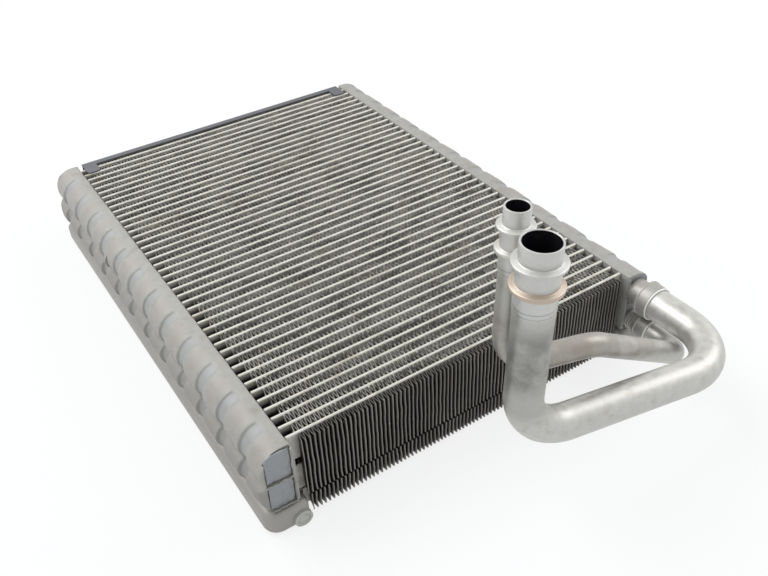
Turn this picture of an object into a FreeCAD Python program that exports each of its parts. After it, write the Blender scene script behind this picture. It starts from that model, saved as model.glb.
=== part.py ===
import FreeCAD, Part
import math
import os
import Sketcher

# Automotive evaporator core.
#
# Flat tubes run along X between two double-chamber side tanks, in three rows one behind
# another: a front and a rear refrigerant row, and a narrow storage row with tanks of its own.
# Corrugated fins stand between the tubes. A suction and a liquid pipe leave the near end of
# the right tank and end in two upright spigots.
#
# The sizes are measured in the core's own frame: X = 0 on the left tube plate's face, Y = 0 at
# the middle of the nearest tube, Z = 0 on the tubes' upper edges. Every sub-part is then placed
# so that the origin lies at the bottom centre of the whole core, on the face it rests on.

SIZES = [
    ("core_width", 212.1, "free length of the tubes between the two tube plates"),
    ("tube_pitch", 7.15, "spacing of the flat tubes"),
    ("tube_count", 43, "tubes in each row"),
    ("tube_thickness", 1.7, "thickness of a flat tube"),
    ("tube_corner", 0.45, "bevel along the edges of a flat tube"),
    ("row_depth", 16.5, "depth of a tube in the front and rear rows"),
    ("row_gap", 5.0, "gap between the front and rear rows"),
    ("storage_gap", 1.6, "gap between the rear row and the storage row"),
    ("storage_row_depth", 11.0, "depth of a tube in the storage row"),
    ("near_pass_tubes", 15, "tubes in the pass next to the pipes"),
    ("middle_pass_tubes", 14, "tubes in the middle pass"),
    ("fin_wave", 2.38, "length of one full wave of a fin"),
    ("fin_sheet", 0.12, "thickness of the fin sheet"),
    ("fin_flat", 0.4, "width of a fin's crest"),
    ("fin_margin", 4.3, "bare tube between a tube plate and the first crest of a main fin"),
    ("storage_margin", 1.5, "bare tube between a storage tank and the first crest of its fins"),
    ("fin_inset", 0.3, "how far a fin stands back from the tubes' edges"),
    ("fin_split", 1.0, "gap between a main fin and the storage fin behind it"),
    ("fin_ridges", 21, "ridges along the upper edge of a fin between two tubes"),
    ("ridge_depth", 3.2, "depth of the valleys between those ridges"),
    ("ridge_trim", 0.05, "how far a ridge stands below the fin's edge"),
    ("tank_overhang_near", 7.2, "tank beyond the nearest tube"),
    ("tank_overhang_far", 8.6, "tank beyond the farthest tube"),
    ("tank_reach", 22.5, "how far a tank stands out from its tube plate's face"),
    ("tank_half_height", 19.8, "half the height of a tank"),
    ("band_width", 5.0, "flat band of the cover beside the face"),
    ("waist_depth", 4.25, "depth of the waist between the two chambers"),
    ("lobe_offset", 2.26, "a chamber's bulge from half-way up its half of the tank"),
    ("groove_depth", 1.8, "how far a groove of the cover lies inside its crest"),
    ("groove_top_depth", 1.1, "depth of a groove beside the band"),
    ("groove_width", 8.4, "width of a groove of the cover"),
    ("groove_tip", 4.9, "distance of a groove's rounded tip from the tube plate's face"),
    ("groove_first", 16.3, "place of the first groove along the tank"),
    ("groove_count", 12, "grooves along a cover"),
    ("grooves_per_tube", 3.5, "tube pitches from groove to groove"),
    ("cover_wall", 1.6, "thickness of the cover's sheet in a groove"),
    ("plate_thickness", 1.6, "thickness of a tube plate"),
    ("partition_thickness", 1.4, "thickness of the wall between the two chambers"),
    ("baffle_thickness", 1.5, "thickness of a baffle"),
    ("window_width", 12.0, "length of a crossover window in the left partition"),
    ("window_height", 6.0, "width of a crossover window"),
    ("window_count", 4, "crossover windows"),
    ("cap_thickness", 1.5, "thickness of an end cap"),
    ("cap_recess", 0.6, "how far an end cap lies inside the end of its tank"),
    ("cap_reach", 15.2, "width of the end caps' opening from the tube plate's face"),
    ("cap_corner", 4.0, "rounded outer corner of an end cap"),
    ("end_zone", 8.2, "length of a cover's narrowed end"),
    ("end_wall", 1.6, "wall beside the end caps"),
    ("header_reach", 18.0, "outer side of a storage tank, from the tube plate's face"),
    ("header_inner", 4.3, "inner side of a storage tank, from the tube plate's face"),
    ("header_under", 3.0, "storage tank below the storage tubes"),
    ("header_corner", 5.0, "rounded corner of a storage tank's section"),
    ("header_nose", 3.2, "rounding of a storage tank's near end"),
    ("header_wall", 1.4, "wall of a storage tank"),
    ("header_overhang", 9.0, "storage tank beyond the nearest tube"),
    ("plug_offset", 0.9, "middle of the filling plug outside the tube plate's face"),
    ("plug_height", 6.3, "middle of the filling plug above the storage tank's bottom"),
    ("plug_radius", 4.15, "radius of the filling plug's head"),
    ("plug_head", 1.2, "height of the filling plug's head"),
    ("plug_shank", 2.6, "radius of the filling plug's shank"),
    ("side_sheet", 1.0, "sheet of the side plate"),
    ("side_inset", 2.6, "gap between the side plate and a tube plate's face"),
    ("side_gap", 0.5, "gap between the side plate and a storage tank"),
    ("side_lip", 4.4, "width of the side plate's lip over the face"),
    ("side_foot", 3.0, "width of the side plate's lower lip"),
    ("tab_width", 9.0, "width of a tab of the side plate"),
    ("tab_reach", 10.5, "how far a tab reaches over the face from the lip"),
    ("tab_corner", 2.5, "rounded corner of a tab"),
    ("joint_mouth", 22.3, "mouth of both nipples' cups, before the nearest tube"),
    ("joint_depth", 6.0, "how deep a pipe sits in its cup"),
    ("joint_clearance", 0.05, "clearance round a pipe in its cup"),
    ("ring_wire", 1.1, "thickness of a filler ring"),
    ("suction_out", 7.5, "suction nipple's axis outside the right tube plate's face"),
    ("suction_drop", 1.4, "suction nipple's axis below the middle of its cap"),
    ("suction_pipe_od", 18.0, "outer diameter of the suction pipe"),
    ("suction_wall", 1.05, "wall of the suction pipe"),
    ("suction_neck", 7.8, "outer radius of the suction nipple's neck"),
    ("suction_root", 5.0, "outer radius of the suction nipple's root"),
    ("suction_corner_y", 77.4, "first corner of the suction pipe, before the nearest tube"),
    ("suction_corner_radius", 30.0, "bend radius at that corner"),
    ("suction_port_in", 121.0, "mouth of the suction spigot inside the right tube plate's face"),
    ("suction_port_y", 60.6, "suction spigot's axis before the nearest tube"),
    ("suction_elbow_down", 1.5, "corner of the suction elbow below the face"),
    ("suction_elbow_radius", 29.0, "bend radius of the suction elbow"),
    ("suction_spigot_od", 17.8, "outer diameter of the suction spigot"),
    ("suction_ring_od", 23.5, "outer diameter of the suction spigot's rings"),
    ("suction_groove_od", 19.0, "outer diameter between the suction spigot's rings"),
    ("suction_sleeve_od", 18.5, "outer diameter below the suction spigot's rings"),
    ("liquid_out", 6.8, "liquid nipple's axis outside the right tube plate's face"),
    ("liquid_drop", 3.0, "liquid nipple's axis below the middle of its cap"),
    ("liquid_pipe_od", 12.1, "outer diameter of the liquid pipe"),
    ("liquid_wall", 1.05, "wall of the liquid pipe"),
    ("liquid_neck", 5.6, "outer radius of the liquid nipple's neck"),
    ("liquid_root", 3.2, "outer radius of the liquid nipple's root"),
    ("liquid_rib", 0.5, "height of the ribs on the liquid nipple's neck"),
    ("rib_spacing", 1.6, "spacing of the ribs"),
    ("rib_foot", 0.8, "width of a rib at its foot"),
    ("rib_first", 1.2, "first rib before the end of the tank"),
    ("liquid_corner_y", 46.4, "first corner of the liquid pipe, before the nearest tube"),
    ("liquid_corner_radius", 18.0, "bend radius at that corner"),
    ("liquid_kink_in", 73.1, "second corner of the liquid pipe inside the right tube plate's face"),
    ("liquid_kink_y", 51.0, "second corner of the liquid pipe, before the nearest tube"),
    ("liquid_kink_up", 21.8, "second corner of the liquid pipe, above the face"),
    ("liquid_kink_radius", 20.0, "bend radius at that corner"),
    ("liquid_port_in", 112.1, "mouth of the liquid spigot inside the right tube plate's face"),
    ("liquid_port_y", 36.0, "liquid spigot's axis before the nearest tube"),
    ("liquid_elbow_up", 18.0, "corner of the liquid elbow above the face"),
    ("liquid_elbow_radius", 18.0, "bend radius of the liquid elbow"),
    ("liquid_spigot_od", 12.1, "outer diameter of the liquid spigot"),
    ("liquid_ring_od", 17.1, "outer diameter of the liquid spigot's rings"),
    ("liquid_groove_od", 12.8, "outer diameter between the liquid spigot's rings"),
    ("liquid_sleeve_od", 12.6, "outer diameter below the liquid spigot's rings"),
    ("port_height", 105.7, "mouths of both spigots above the face"),
    ("port_lean", 3.5, "sideways lean of both uprights over a height of 100"),
    ("cup_bead", 0.4, "height of the bead round a nipple's cup"),
    ("cup_bead_width", 2.6, "width of that bead with its slopes"),
    ("upper_ring", 9.5, "middle of the upper rings below the mouths"),
    ("upper_ring_width", 2.0, "height of an upper ring"),
    ("lower_ring", 20.8, "middle of the lower rings below the mouths"),
    ("lower_ring_width", 2.8, "height of a lower ring"),
    ("ring_bevel", 0.5, "bevel of the rings' edges"),
    ("sleeve_end", 36.0, "lower end of the thicker stretch below the mouths"),
]

doc = FreeCAD.newDocument("evaporator_core")
sheet = doc.addObject("Spreadsheet::Sheet", "Sizes")
for row, (alias, value, note) in enumerate(SIZES, start=1):
    sheet.set("A" + str(row), note)
    sheet.set("B" + str(row), str(value))
    sheet.setAlias("B" + str(row), alias)
doc.recompute()


class Size:
    """A length that carries its number and the sheet formula that gives it."""

    def __init__(self, number, formula):
        self.number = float(number)
        self.formula = formula

    def __add__(self, other):
        other = as_size(other)
        return Size(self.number + other.number, "(" + self.formula + " + " + other.formula + ")")

    def __sub__(self, other):
        other = as_size(other)
        return Size(self.number - other.number, "(" + self.formula + " - " + other.formula + ")")

    def __mul__(self, other):
        other = as_size(other)
        return Size(self.number * other.number, "(" + self.formula + " * " + other.formula + ")")

    def __truediv__(self, other):
        other = as_size(other)
        return Size(self.number / other.number, "(" + self.formula + " / " + other.formula + ")")

    def __neg__(self):
        return as_size(0) - self

    def __rsub__(self, other):
        return as_size(other) - self

    __radd__ = __add__
    __rmul__ = __mul__


def as_size(value):
    """Turn a bare number into a Size."""
    if isinstance(value, Size):
        return value
    return Size(value, "(" + str(float(value)) + ")")


def root(value):
    """Square root of a Size."""
    return Size(math.sqrt(value.number), "sqrt(" + value.formula + ")")


class Sheet:
    """The sheet's cells by name, such as S.tube_pitch."""

    def __getattr__(self, alias):
        return Size(sheet.get(alias), "Sizes." + alias)


S = Sheet()
ZERO = as_size(0)

# Levels and stations that several sub-parts share
STACK = S.tube_pitch * (S.tube_count - 1)
FRONT_TOP = ZERO
REAR_TOP = -(S.row_depth + S.row_gap)
STORAGE_TOP = REAR_TOP - S.row_depth - S.storage_gap
STORAGE_BOTTOM = STORAGE_TOP - S.storage_row_depth
MAIN_BOTTOM = REAR_TOP - S.row_depth
MIDDLE = -(S.row_depth + S.row_gap / 2)
TANK_NEAR = -S.tank_overhang_near
TANK_FAR = STACK + S.tank_overhang_far
TANK_BOTTOM = MIDDLE - S.tank_half_height
REST = STORAGE_BOTTOM - S.header_under
CHAMBER_HALF = S.tank_half_height - S.groove_top_depth - S.cover_wall
PORT_MOUTH = S.port_height
JOINT_MOUTH = -S.joint_mouth
PIPE_START = JOINT_MOUTH + S.joint_depth

# The suction pipe's first bend is what stands out furthest at the near side
LEAN = S.port_lean / 100
SUCTION_X = S.core_width + S.suction_out
SUCTION_Z = MIDDLE + (CHAMBER_HALF + S.partition_thickness / 2) / 2 - S.suction_drop
SUCTION_PORT_X = S.core_width - S.suction_port_in
SUCTION_ELBOW_X = SUCTION_PORT_X - (S.port_height + S.suction_elbow_down) * LEAN
LIQUID_X = S.core_width + S.liquid_out
LIQUID_Z = MIDDLE - (CHAMBER_HALF + S.partition_thickness / 2) / 2 - S.liquid_drop
LIQUID_PORT_X = S.core_width - S.liquid_port_in
LIQUID_ELBOW_X = LIQUID_PORT_X - (S.port_height - S.liquid_elbow_up) * LEAN
RUN_X = SUCTION_ELBOW_X - SUCTION_X
RUN_Y = S.suction_corner_y - S.suction_port_y
RUN_Z = SUCTION_Z + S.suction_elbow_down
RUN = root(RUN_X * RUN_X + RUN_Y * RUN_Y + RUN_Z * RUN_Z)
TURN_COS = -(RUN_Y / RUN)
TURN_TAN = root((1 - TURN_COS) / (1 + TURN_COS))
NEAR_REACH = S.suction_corner_radius * (TURN_TAN - 1) - S.suction_corner_y - S.suction_pipe_od / 2

SHIFT_X = S.core_width / 2
SHIFT_Y = (NEAR_REACH + TANK_FAR) / 2
SHIFT_Z = REST

sub_parts = []


def place(item, x=ZERO, y=ZERO, z=ZERO):
    """Place a sub-part in the part's frame; x, y, z are in the core's own frame."""
    item.setExpression("Placement.Base.x", (x - SHIFT_X).formula)
    item.setExpression("Placement.Base.y", (y - SHIFT_Y).formula)
    item.setExpression("Placement.Base.z", (z - SHIFT_Z).formula)
    sub_parts.append(item)


def new_body(label, x=ZERO, y=ZERO, z=ZERO, group=False):
    """Start a sub-part; a group holds several like solids."""
    body = doc.addObject("PartDesign::Body", label)
    body.Label = label
    body.AllowCompound = group
    place(body, x, y, z)
    return body


def origin_feature(body, role):
    """One of the body's own origin planes or axes."""
    return next(item for item in body.Origin.OriginFeatures if item.Role == role)


def new_sketch(body, name, plane, offset=ZERO):
    """Sketch on an origin plane of its body, moved along that plane's normal."""
    sketch = body.newObject("Sketcher::SketchObject", name)
    sketch.AttachmentSupport = [(origin_feature(body, plane), "")]
    sketch.MapMode = "FlatFace"
    sketch.setExpression("AttachmentOffset.Base.z", as_size(offset).formula)
    return sketch


def pin_point(sketch, geometry, position, x, y):
    """Hold one point of the sketch at two sheet formulas."""
    for kind, value in (("DistanceX", as_size(x)), ("DistanceY", as_size(y))):
        index = sketch.addConstraint(
            Sketcher.Constraint(kind, -1, 1, geometry, position, value.number))
        sketch.setExpression("Constraints[" + str(index) + "]", value.formula)


def arc_through(start, end, radius, left):
    """Minor arc between two points that bulges to the left or right of the chord."""
    chord = end - start
    half = chord.Length / 2
    height = math.sqrt(max(radius * radius - half * half, 0.0))
    normal = FreeCAD.Vector(-chord.y, chord.x, 0).normalize()
    side = -1 if left else 1
    centre = (start + end) * 0.5 + normal * (side * height)
    first, last = (end, start) if left else (start, end)
    angle_a = math.atan2(first.y - centre.y, first.x - centre.x)
    angle_b = math.atan2(last.y - centre.y, last.x - centre.x)
    if angle_b < angle_a:
        angle_b += 2 * math.pi
    circle = Part.Circle(centre, FreeCAD.Vector(0, 0, 1), radius)
    return Part.ArcOfCircle(circle, angle_a, angle_b)


def outline(sketch, points):
    """Closed outline. A point is (x, y), or (x, y, radius, "left" or "right") where an arc
    leads to it from the point before."""
    spots = [(as_size(point[0]), as_size(point[1])) for point in points]
    vectors = [FreeCAD.Vector(x.number, y.number, 0) for x, y in spots]
    joins = []
    for index, point in enumerate(points):
        before = vectors[index - 1]
        here = vectors[index]
        if len(point) == 2:
            geometry = sketch.addGeometry(Part.LineSegment(before, here), False)
            ends = (1, 2)
        else:
            left = point[3] == "left"
            radius = as_size(point[2])
            geometry = sketch.addGeometry(arc_through(before, here, radius.number, left), False)
            ends = (2, 1) if left else (1, 2)
            held = sketch.addConstraint(Sketcher.Constraint("Radius", geometry, radius.number))
            sketch.setExpression("Constraints[" + str(held) + "]", radius.formula)
        joins.append((geometry, ends))
    for index, (geometry, ends) in enumerate(joins):
        following, next_ends = joins[(index + 1) % len(joins)]
        sketch.addConstraint(
            Sketcher.Constraint("Coincident", geometry, ends[1], following, next_ends[0]))
        pin_point(sketch, geometry, ends[1], spots[index][0], spots[index][1])


def rectangle(sketch, x_low, x_high, y_low, y_high):
    """Upright rectangle in a sketch."""
    outline(sketch, [(x_low, y_low), (x_high, y_low), (x_high, y_high), (x_low, y_high)])


def circle(sketch, x, y, radius):
    """Circle in a sketch."""
    centre = FreeCAD.Vector(as_size(x).number, as_size(y).number, 0)
    shape = Part.Circle(centre, FreeCAD.Vector(0, 0, 1), radius.number)
    geometry = sketch.addGeometry(shape, False)
    held = sketch.addConstraint(Sketcher.Constraint("Radius", geometry, radius.number))
    sketch.setExpression("Constraints[" + str(held) + "]", radius.formula)
    pin_point(sketch, geometry, 3, x, y)


def extrude(body, kind, sketch, length, reverse=False):
    """Pad or Pocket of a sketch."""
    feature = body.newObject("PartDesign::" + kind, sketch.Name + "_" + kind.lower())
    feature.Profile = sketch
    feature.Reversed = reverse
    feature.setExpression("Length", as_size(length).formula)
    return feature


def repeat(body, feature, count, spacing, axis="Y_Axis"):
    """Copies of a feature along one of the body's axes."""
    pattern = body.newObject("PartDesign::LinearPattern", feature.Name + "_row")
    pattern.Originals = [feature]
    pattern.Direction = (origin_feature(body, axis), [""])
    pattern.setExpression("Length", (as_size(spacing) * (as_size(count) - 1)).formula)
    pattern.setExpression("Occurrences", as_size(count).formula)
    body.Tip = pattern
    return pattern


def turned(body, name, profile):
    """Solid of revolution about the body's Y axis; the profile lists (radius, y)."""
    sketch = new_sketch(body, name, "XY_Plane")
    outline(sketch, profile)
    feature = body.newObject("PartDesign::Revolution", name + "_turned")
    feature.Profile = sketch
    feature.ReferenceAxis = (origin_feature(body, "Y_Axis"), [""])
    feature.Angle = 360
    return feature


# Flat tubes, as one group of separate solids for each row and pass
def tube_group(label, top, depth, first, count, end_inset):
    body = new_body(label, group=True)
    sketch = new_sketch(body, label + "_section", "YZ_Plane", end_inset)
    middle = S.tube_pitch * first
    low = middle - S.tube_thickness / 2
    high = middle + S.tube_thickness / 2
    bottom = top - depth
    bevel = S.tube_corner
    outline(sketch, [
        (low, bottom + bevel), (low + bevel, bottom), (high - bevel, bottom),
        (high, bottom + bevel), (high, top - bevel), (high - bevel, top),
        (low + bevel, top), (low, top - bevel)])
    tube = extrude(body, "Pad", sketch, S.core_width - end_inset * 2)
    repeat(body, tube, count, S.tube_pitch)


# Fin packs between the tubes, each a closed strip of the corrugated fin's outer size. The main
# fins' upper edges carry ridges, each of which stands for several folds of the sheet.
def fin_group(label, top, bottom, first, count, margin):
    body = new_body(label, group=True)
    sketch = new_sketch(body, label + "_section", "YZ_Plane", margin)
    near = S.tube_pitch * first + S.tube_thickness / 2
    far = S.tube_pitch * (first + 1) - S.tube_thickness / 2
    rectangle(sketch, near, far, bottom, top)
    strip = extrude(body, "Pad", sketch, S.core_width - margin * 2)
    repeat(body, strip, count, S.tube_pitch)
    return body


def fin_ridges(body, top, first, count):
    """Valleys across the upper edges of a group's strips."""
    pitch = (S.core_width - S.fin_margin * 2) / S.fin_ridges
    middle = S.fin_margin + pitch / 2
    half = pitch * S.ridge_depth / (S.ridge_depth - S.ridge_trim)
    sketch = new_sketch(body, body.Label + "_valley", "XZ_Plane", -(S.tube_pitch * first))
    outline(sketch, [
        (middle, top - S.ridge_depth), (middle + half, top + S.ridge_depth),
        (middle - half, top + S.ridge_depth)])
    valley = extrude(body, "Pocket", sketch, S.tube_pitch * count)
    repeat(body, valley, S.fin_ridges, pitch, "X_Axis")


FAR_PASS_TUBES = S.tube_count - S.near_pass_tubes - S.middle_pass_tubes
PASSES = [
    ("near", ZERO, S.near_pass_tubes),
    ("middle", S.near_pass_tubes, S.middle_pass_tubes),
    ("far", S.near_pass_tubes + S.middle_pass_tubes, FAR_PASS_TUBES),
]
MAIN_FIN_TOP = -S.fin_inset
MAIN_FIN_BOTTOM = MAIN_BOTTOM + S.fin_inset
STORAGE_FIN_TOP = MAIN_FIN_BOTTOM - S.fin_split
STORAGE_FIN_MARGIN = S.header_inner + S.storage_margin

for pass_name, first_tube, tubes in PASSES:
    tube_group("front_tubes_" + pass_name, FRONT_TOP, S.row_depth, first_tube, tubes, ZERO)
    tube_group("rear_tubes_" + pass_name, REAR_TOP, S.row_depth, first_tube, tubes, ZERO)
    tube_group("storage_tubes_" + pass_name, STORAGE_TOP, S.storage_row_depth,
               first_tube, tubes, S.header_inner)
    main_fins = fin_group(
        "main_fins_" + pass_name, MAIN_FIN_TOP, MAIN_FIN_BOTTOM, first_tube, tubes,
        S.fin_margin)
    fin_ridges(main_fins, MAIN_FIN_TOP, first_tube, tubes)
    fin_group("storage_fins_" + pass_name, STORAGE_FIN_TOP, STORAGE_BOTTOM, first_tube, tubes,
              STORAGE_FIN_MARGIN)


# Exposed fins on the near side, with their true waves
def strip_outline(points, thickness):
    """Outline of a thin sheet that follows the points, with mitred folds."""
    sides = ([], [])
    last = len(points) - 1
    for index, point in enumerate(points):
        before = points[max(index - 1, 0)]
        after = points[min(index + 1, last)]
        into = (point - before).normalize() if index > 0 else (after - point).normalize()
        out = (after - point).normalize() if index < last else into
        normal = FreeCAD.Vector(-into.y - out.y, into.x + out.x, 0).normalize()
        lean = normal.dot(FreeCAD.Vector(-into.y, into.x, 0))
        step = normal * (thickness / 2 / lean)
        sides[0].append(point + step)
        sides[1].append(point - step)
    return sides[0] + sides[1][::-1]


def waved_fin(label, top, bottom, margin):
    """Corrugated sheet between the nearest tube and the open near side."""
    start = margin.number
    run = S.core_width.number - 2 * start
    legs = max(2, round(run / (S.fin_wave.number / 2)))
    step = run / legs
    half_flat = S.fin_flat.number / 2
    sheet_half = S.fin_sheet.number / 2
    seat = -S.tube_thickness.number / 2 - sheet_half
    crest = -(S.tube_pitch.number - S.tube_thickness.number / 2) + sheet_half
    points = []
    for leg in range(legs + 1):
        x = start + leg * step
        y = seat if leg % 2 == 0 else crest
        if leg > 0:
            points.append(FreeCAD.Vector(x - half_flat, y, bottom.number))
        if leg < legs:
            points.append(FreeCAD.Vector(x + half_flat, y, bottom.number))
    edge = strip_outline(points, S.fin_sheet.number)
    face = Part.Face(Part.makePolygon(edge + edge[:1]))
    fin = doc.addObject("Part::Feature", label)
    fin.Shape = face.extrude(FreeCAD.Vector(0, 0, top.number - bottom.number))
    fin.Label = label
    place(fin)


waved_fin("near_fin", MAIN_FIN_TOP, MAIN_FIN_BOTTOM, S.fin_margin)
waved_fin("near_storage_fin", STORAGE_FIN_TOP, STORAGE_BOTTOM, STORAGE_FIN_MARGIN)


# Side tanks. side is -1 for the left tank and +1 for the right one, and face is its tube
# plate's face towards the core.
def bulge(side, face, wall_reach, half_height, waist_half):
    """Outer points of a two-lobed section, from the upper band round to the lower one. Each
    lobe runs from the waist into a shoulder that ends level in the flat band."""
    lobe_level = half_height / 2 - S.lobe_offset
    waist_rise = lobe_level - waist_half
    depth = S.waist_depth
    lobe = (waist_rise * waist_rise + depth * depth) / (depth * 2)
    over = wall_reach - lobe - S.band_width
    above = half_height - lobe_level
    shoulder = (over * over + above * above - lobe * lobe) / ((above - lobe) * 2)
    spread = shoulder - lobe
    tangent_x = S.band_width + shoulder * over / spread
    tangent_level = half_height - shoulder + shoulder * (above - shoulder) * -1 / spread
    waist_x = wall_reach - depth
    turn = "left" if side > 0 else "right"

    def at(out, level):
        return face + out * side, MIDDLE + level

    points = [at(S.band_width, half_height)]
    points.append(at(tangent_x, tangent_level) + (shoulder, turn))
    points.append(at(waist_x, waist_half) + (lobe, turn))
    if waist_half.number > 0:
        points.append(at(waist_x, -waist_half))
    points.append(at(tangent_x, -tangent_level) + (lobe, turn))
    points.append(at(S.band_width, -half_height) + (shoulder, turn))
    return points


def section(side, face, wall_reach, half_height, waist_half=ZERO):
    """Closed two-lobed section from the tube plate outwards."""
    points = [(face, MIDDLE - half_height), (face, MIDDLE + half_height)]
    return points + bulge(side, face, wall_reach, half_height, waist_half)


WAIST_HALF = S.partition_thickness / 2
CHAMBER_REACH = S.tank_reach - S.groove_depth - S.cover_wall
GROOVE_PITCH = S.tube_pitch * S.grooves_per_tube


def cap_outline(side, face, upper):
    """Opening of one chamber at a tank's end, and the cap that fills it."""
    sign = 1 if upper else -1
    inner = face + S.plate_thickness * side
    outer = face + S.cap_reach * side
    rounded = face + (S.cap_reach - S.cap_corner) * side
    low = MIDDLE + WAIST_HALF * sign
    high = MIDDLE + CHAMBER_HALF * sign
    turn = "left" if side * sign > 0 else "right"
    return [(inner, low), (inner, high), (rounded, high),
            (outer, high - S.cap_corner * sign, S.cap_corner, turn), (outer, low)]


def tank_cover(name, side, face):
    label = name + "_tank_cover"
    body = new_body(label)
    length = TANK_FAR - TANK_NEAR

    crest = new_sketch(body, label + "_crest", "XZ_Plane", -TANK_NEAR)
    outline(crest, section(side, face, S.tank_reach, S.tank_half_height))
    extrude(body, "Pad", crest, length, True)

    groove = new_sketch(body, label + "_groove", "XY_Plane", MIDDLE + S.tank_half_height + 1)
    half = S.groove_width / 2
    apex = face + S.groove_tip * side
    tip = face + (S.groove_tip + half) * side
    beyond = face + (S.tank_reach + 1) * side
    bend = "left" if side < 0 else "right"
    outline(groove, [
        (beyond, S.groove_first + half), (beyond, S.groove_first - half),
        (tip, S.groove_first - half),
        (apex, S.groove_first, half, bend), (tip, S.groove_first + half, half, bend)])
    cut = extrude(body, "Pocket", groove, S.tank_half_height * 2 + 2)
    repeat(body, cut, S.groove_count, GROOVE_PITCH)

    floor = new_sketch(body, label + "_groove_floor", "XZ_Plane", -TANK_NEAR)
    outline(floor, section(side, face, S.tank_reach - S.groove_depth,
                           S.tank_half_height - S.groove_top_depth))
    extrude(body, "Pad", floor, length, True)

    chamber = new_sketch(body, label + "_chamber", "XZ_Plane", -(TANK_NEAR + S.end_zone))
    outline(chamber, section(side, face, CHAMBER_REACH, CHAMBER_HALF, WAIST_HALF))
    extrude(body, "Pocket", chamber, length - S.end_zone * 2)

    seat = new_sketch(body, label + "_plate_seat", "XZ_Plane", -TANK_NEAR)
    rectangle(seat, *sorted((face, face + S.plate_thickness * side), key=lambda at: at.number),
              MIDDLE - CHAMBER_HALF, MIDDLE + CHAMBER_HALF)
    extrude(body, "Pocket", seat, length)

    for end, station in (("near", TANK_NEAR), ("far", TANK_FAR - S.end_zone)):
        for level, upper in (("upper", True), ("lower", False)):
            mouth = new_sketch(body, label + "_" + end + "_" + level, "XZ_Plane", -station)
            outline(mouth, cap_outline(side, face, upper))
            extrude(body, "Pocket", mouth, S.end_zone)

    narrow = face + (S.cap_reach + S.end_wall) * side
    for end, tip_y, root_y in (("near", TANK_NEAR, TANK_NEAR + S.end_zone),
                               ("far", TANK_FAR, TANK_FAR - S.end_zone)):
        way = 1 if end == "near" else -1
        corner = new_sketch(body, label + "_" + end + "_taper", "XY_Plane",
                            MIDDLE + S.tank_half_height + 1)
        outline(corner, [
            (narrow, tip_y - way), (narrow, tip_y), (beyond, root_y), (beyond, tip_y - way)])
        extrude(body, "Pocket", corner, S.tank_half_height * 2 + 2)


def tube_plate(name, side, face):
    label = name + "_tube_plate"
    body = new_body(label)
    sketch = new_sketch(body, label + "_face", "XZ_Plane", -TANK_NEAR)
    rectangle(sketch, *sorted((face, face + S.plate_thickness * side), key=lambda at: at.number),
              MIDDLE - CHAMBER_HALF, MIDDLE + CHAMBER_HALF)
    extrude(body, "Pad", sketch, TANK_FAR - TANK_NEAR, True)


def partition_edge(side, face):
    """Outer edge of the wall between the chambers."""
    points = bulge(side, face, CHAMBER_REACH, CHAMBER_HALF, WAIST_HALF)
    return points[2][0]


def partition(name, side, face, windows):
    label = name + "_partition"
    body = new_body(label)
    inner = face + S.plate_thickness * side
    outer = partition_edge(side, face)
    low, high = sorted((inner, outer), key=lambda at: at.number)
    near = TANK_NEAR + S.end_zone
    sheet_sketch = new_sketch(body, label + "_sheet", "XY_Plane", MIDDLE - WAIST_HALF)
    rectangle(sheet_sketch, low, high, near, TANK_FAR - S.end_zone)
    extrude(body, "Pad", sheet_sketch, S.partition_thickness)
    if windows:
        spacing = S.tube_pitch * 3
        first = BAFFLE_FAR + S.tube_pitch
        middle = (inner + outer) / 2
        window = new_sketch(body, label + "_window", "XY_Plane", MIDDLE + WAIST_HALF)
        rectangle(window, middle - S.window_height / 2, middle + S.window_height / 2,
                  first, first + S.window_width)
        cut = extrude(body, "Pocket", window, S.partition_thickness)
        repeat(body, cut, S.window_count, spacing)


def end_cap(name, side, face, end, upper, hole=None):
    label = name + "_" + end + "_" + ("upper" if upper else "lower") + "_cap"
    body = new_body(label)
    if end == "near":
        station = TANK_NEAR + S.cap_recess
    else:
        station = TANK_FAR - S.cap_recess - S.cap_thickness
    sketch = new_sketch(body, label + "_face", "XZ_Plane", -station)
    outline(sketch, cap_outline(side, face, upper))
    extrude(body, "Pad", sketch, S.cap_thickness, True)
    if hole:
        x, z, radius = hole
        bore = new_sketch(body, label + "_hole", "XZ_Plane", -station)
        circle(bore, x, z, radius)
        extrude(body, "Pocket", bore, S.cap_thickness)


def baffle(name, side, face, upper, station):
    """Plate across one chamber that turns the refrigerant into the next pass."""
    label = name + "_" + ("front" if upper else "rear") + "_baffle"
    body = new_body(label)
    sketch = new_sketch(body, label + "_face", "XZ_Plane", -(station - S.baffle_thickness / 2))
    back = face + S.plate_thickness * side
    round_wall = bulge(side, face, CHAMBER_REACH, CHAMBER_HALF, WAIST_HALF)
    if upper:
        points = [(back, MIDDLE + WAIST_HALF), (back, MIDDLE + CHAMBER_HALF)] + round_wall[:3]
    else:
        points = [(back, MIDDLE - CHAMBER_HALF), (back, MIDDLE - WAIST_HALF)] + round_wall[3:]
    outline(sketch, points)
    extrude(body, "Pad", sketch, S.baffle_thickness, True)


BAFFLE_NEAR = S.tube_pitch * (S.near_pass_tubes - 0.5)
BAFFLE_FAR = S.tube_pitch * (S.near_pass_tubes + S.middle_pass_tubes - 0.5)
HOLES = {
    ("right", "near", True): (SUCTION_X, SUCTION_Z, S.suction_root),
    ("right", "near", False): (LIQUID_X, LIQUID_Z, S.liquid_root),
}

for name, side, face, baffle_station in (("left", -1, ZERO, BAFFLE_FAR),
                                         ("right", 1, S.core_width, BAFFLE_NEAR)):
    tank_cover(name, side, face)
    tube_plate(name, side, face)
    partition(name, side, face, windows=(name == "left"))
    for end in ("near", "far"):
        for upper in (True, False):
            end_cap(name, side, face, end, upper, HOLES.get((name, end, upper)))
    for upper in (True, False):
        baffle(name, side, face, upper, baffle_station)


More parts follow.
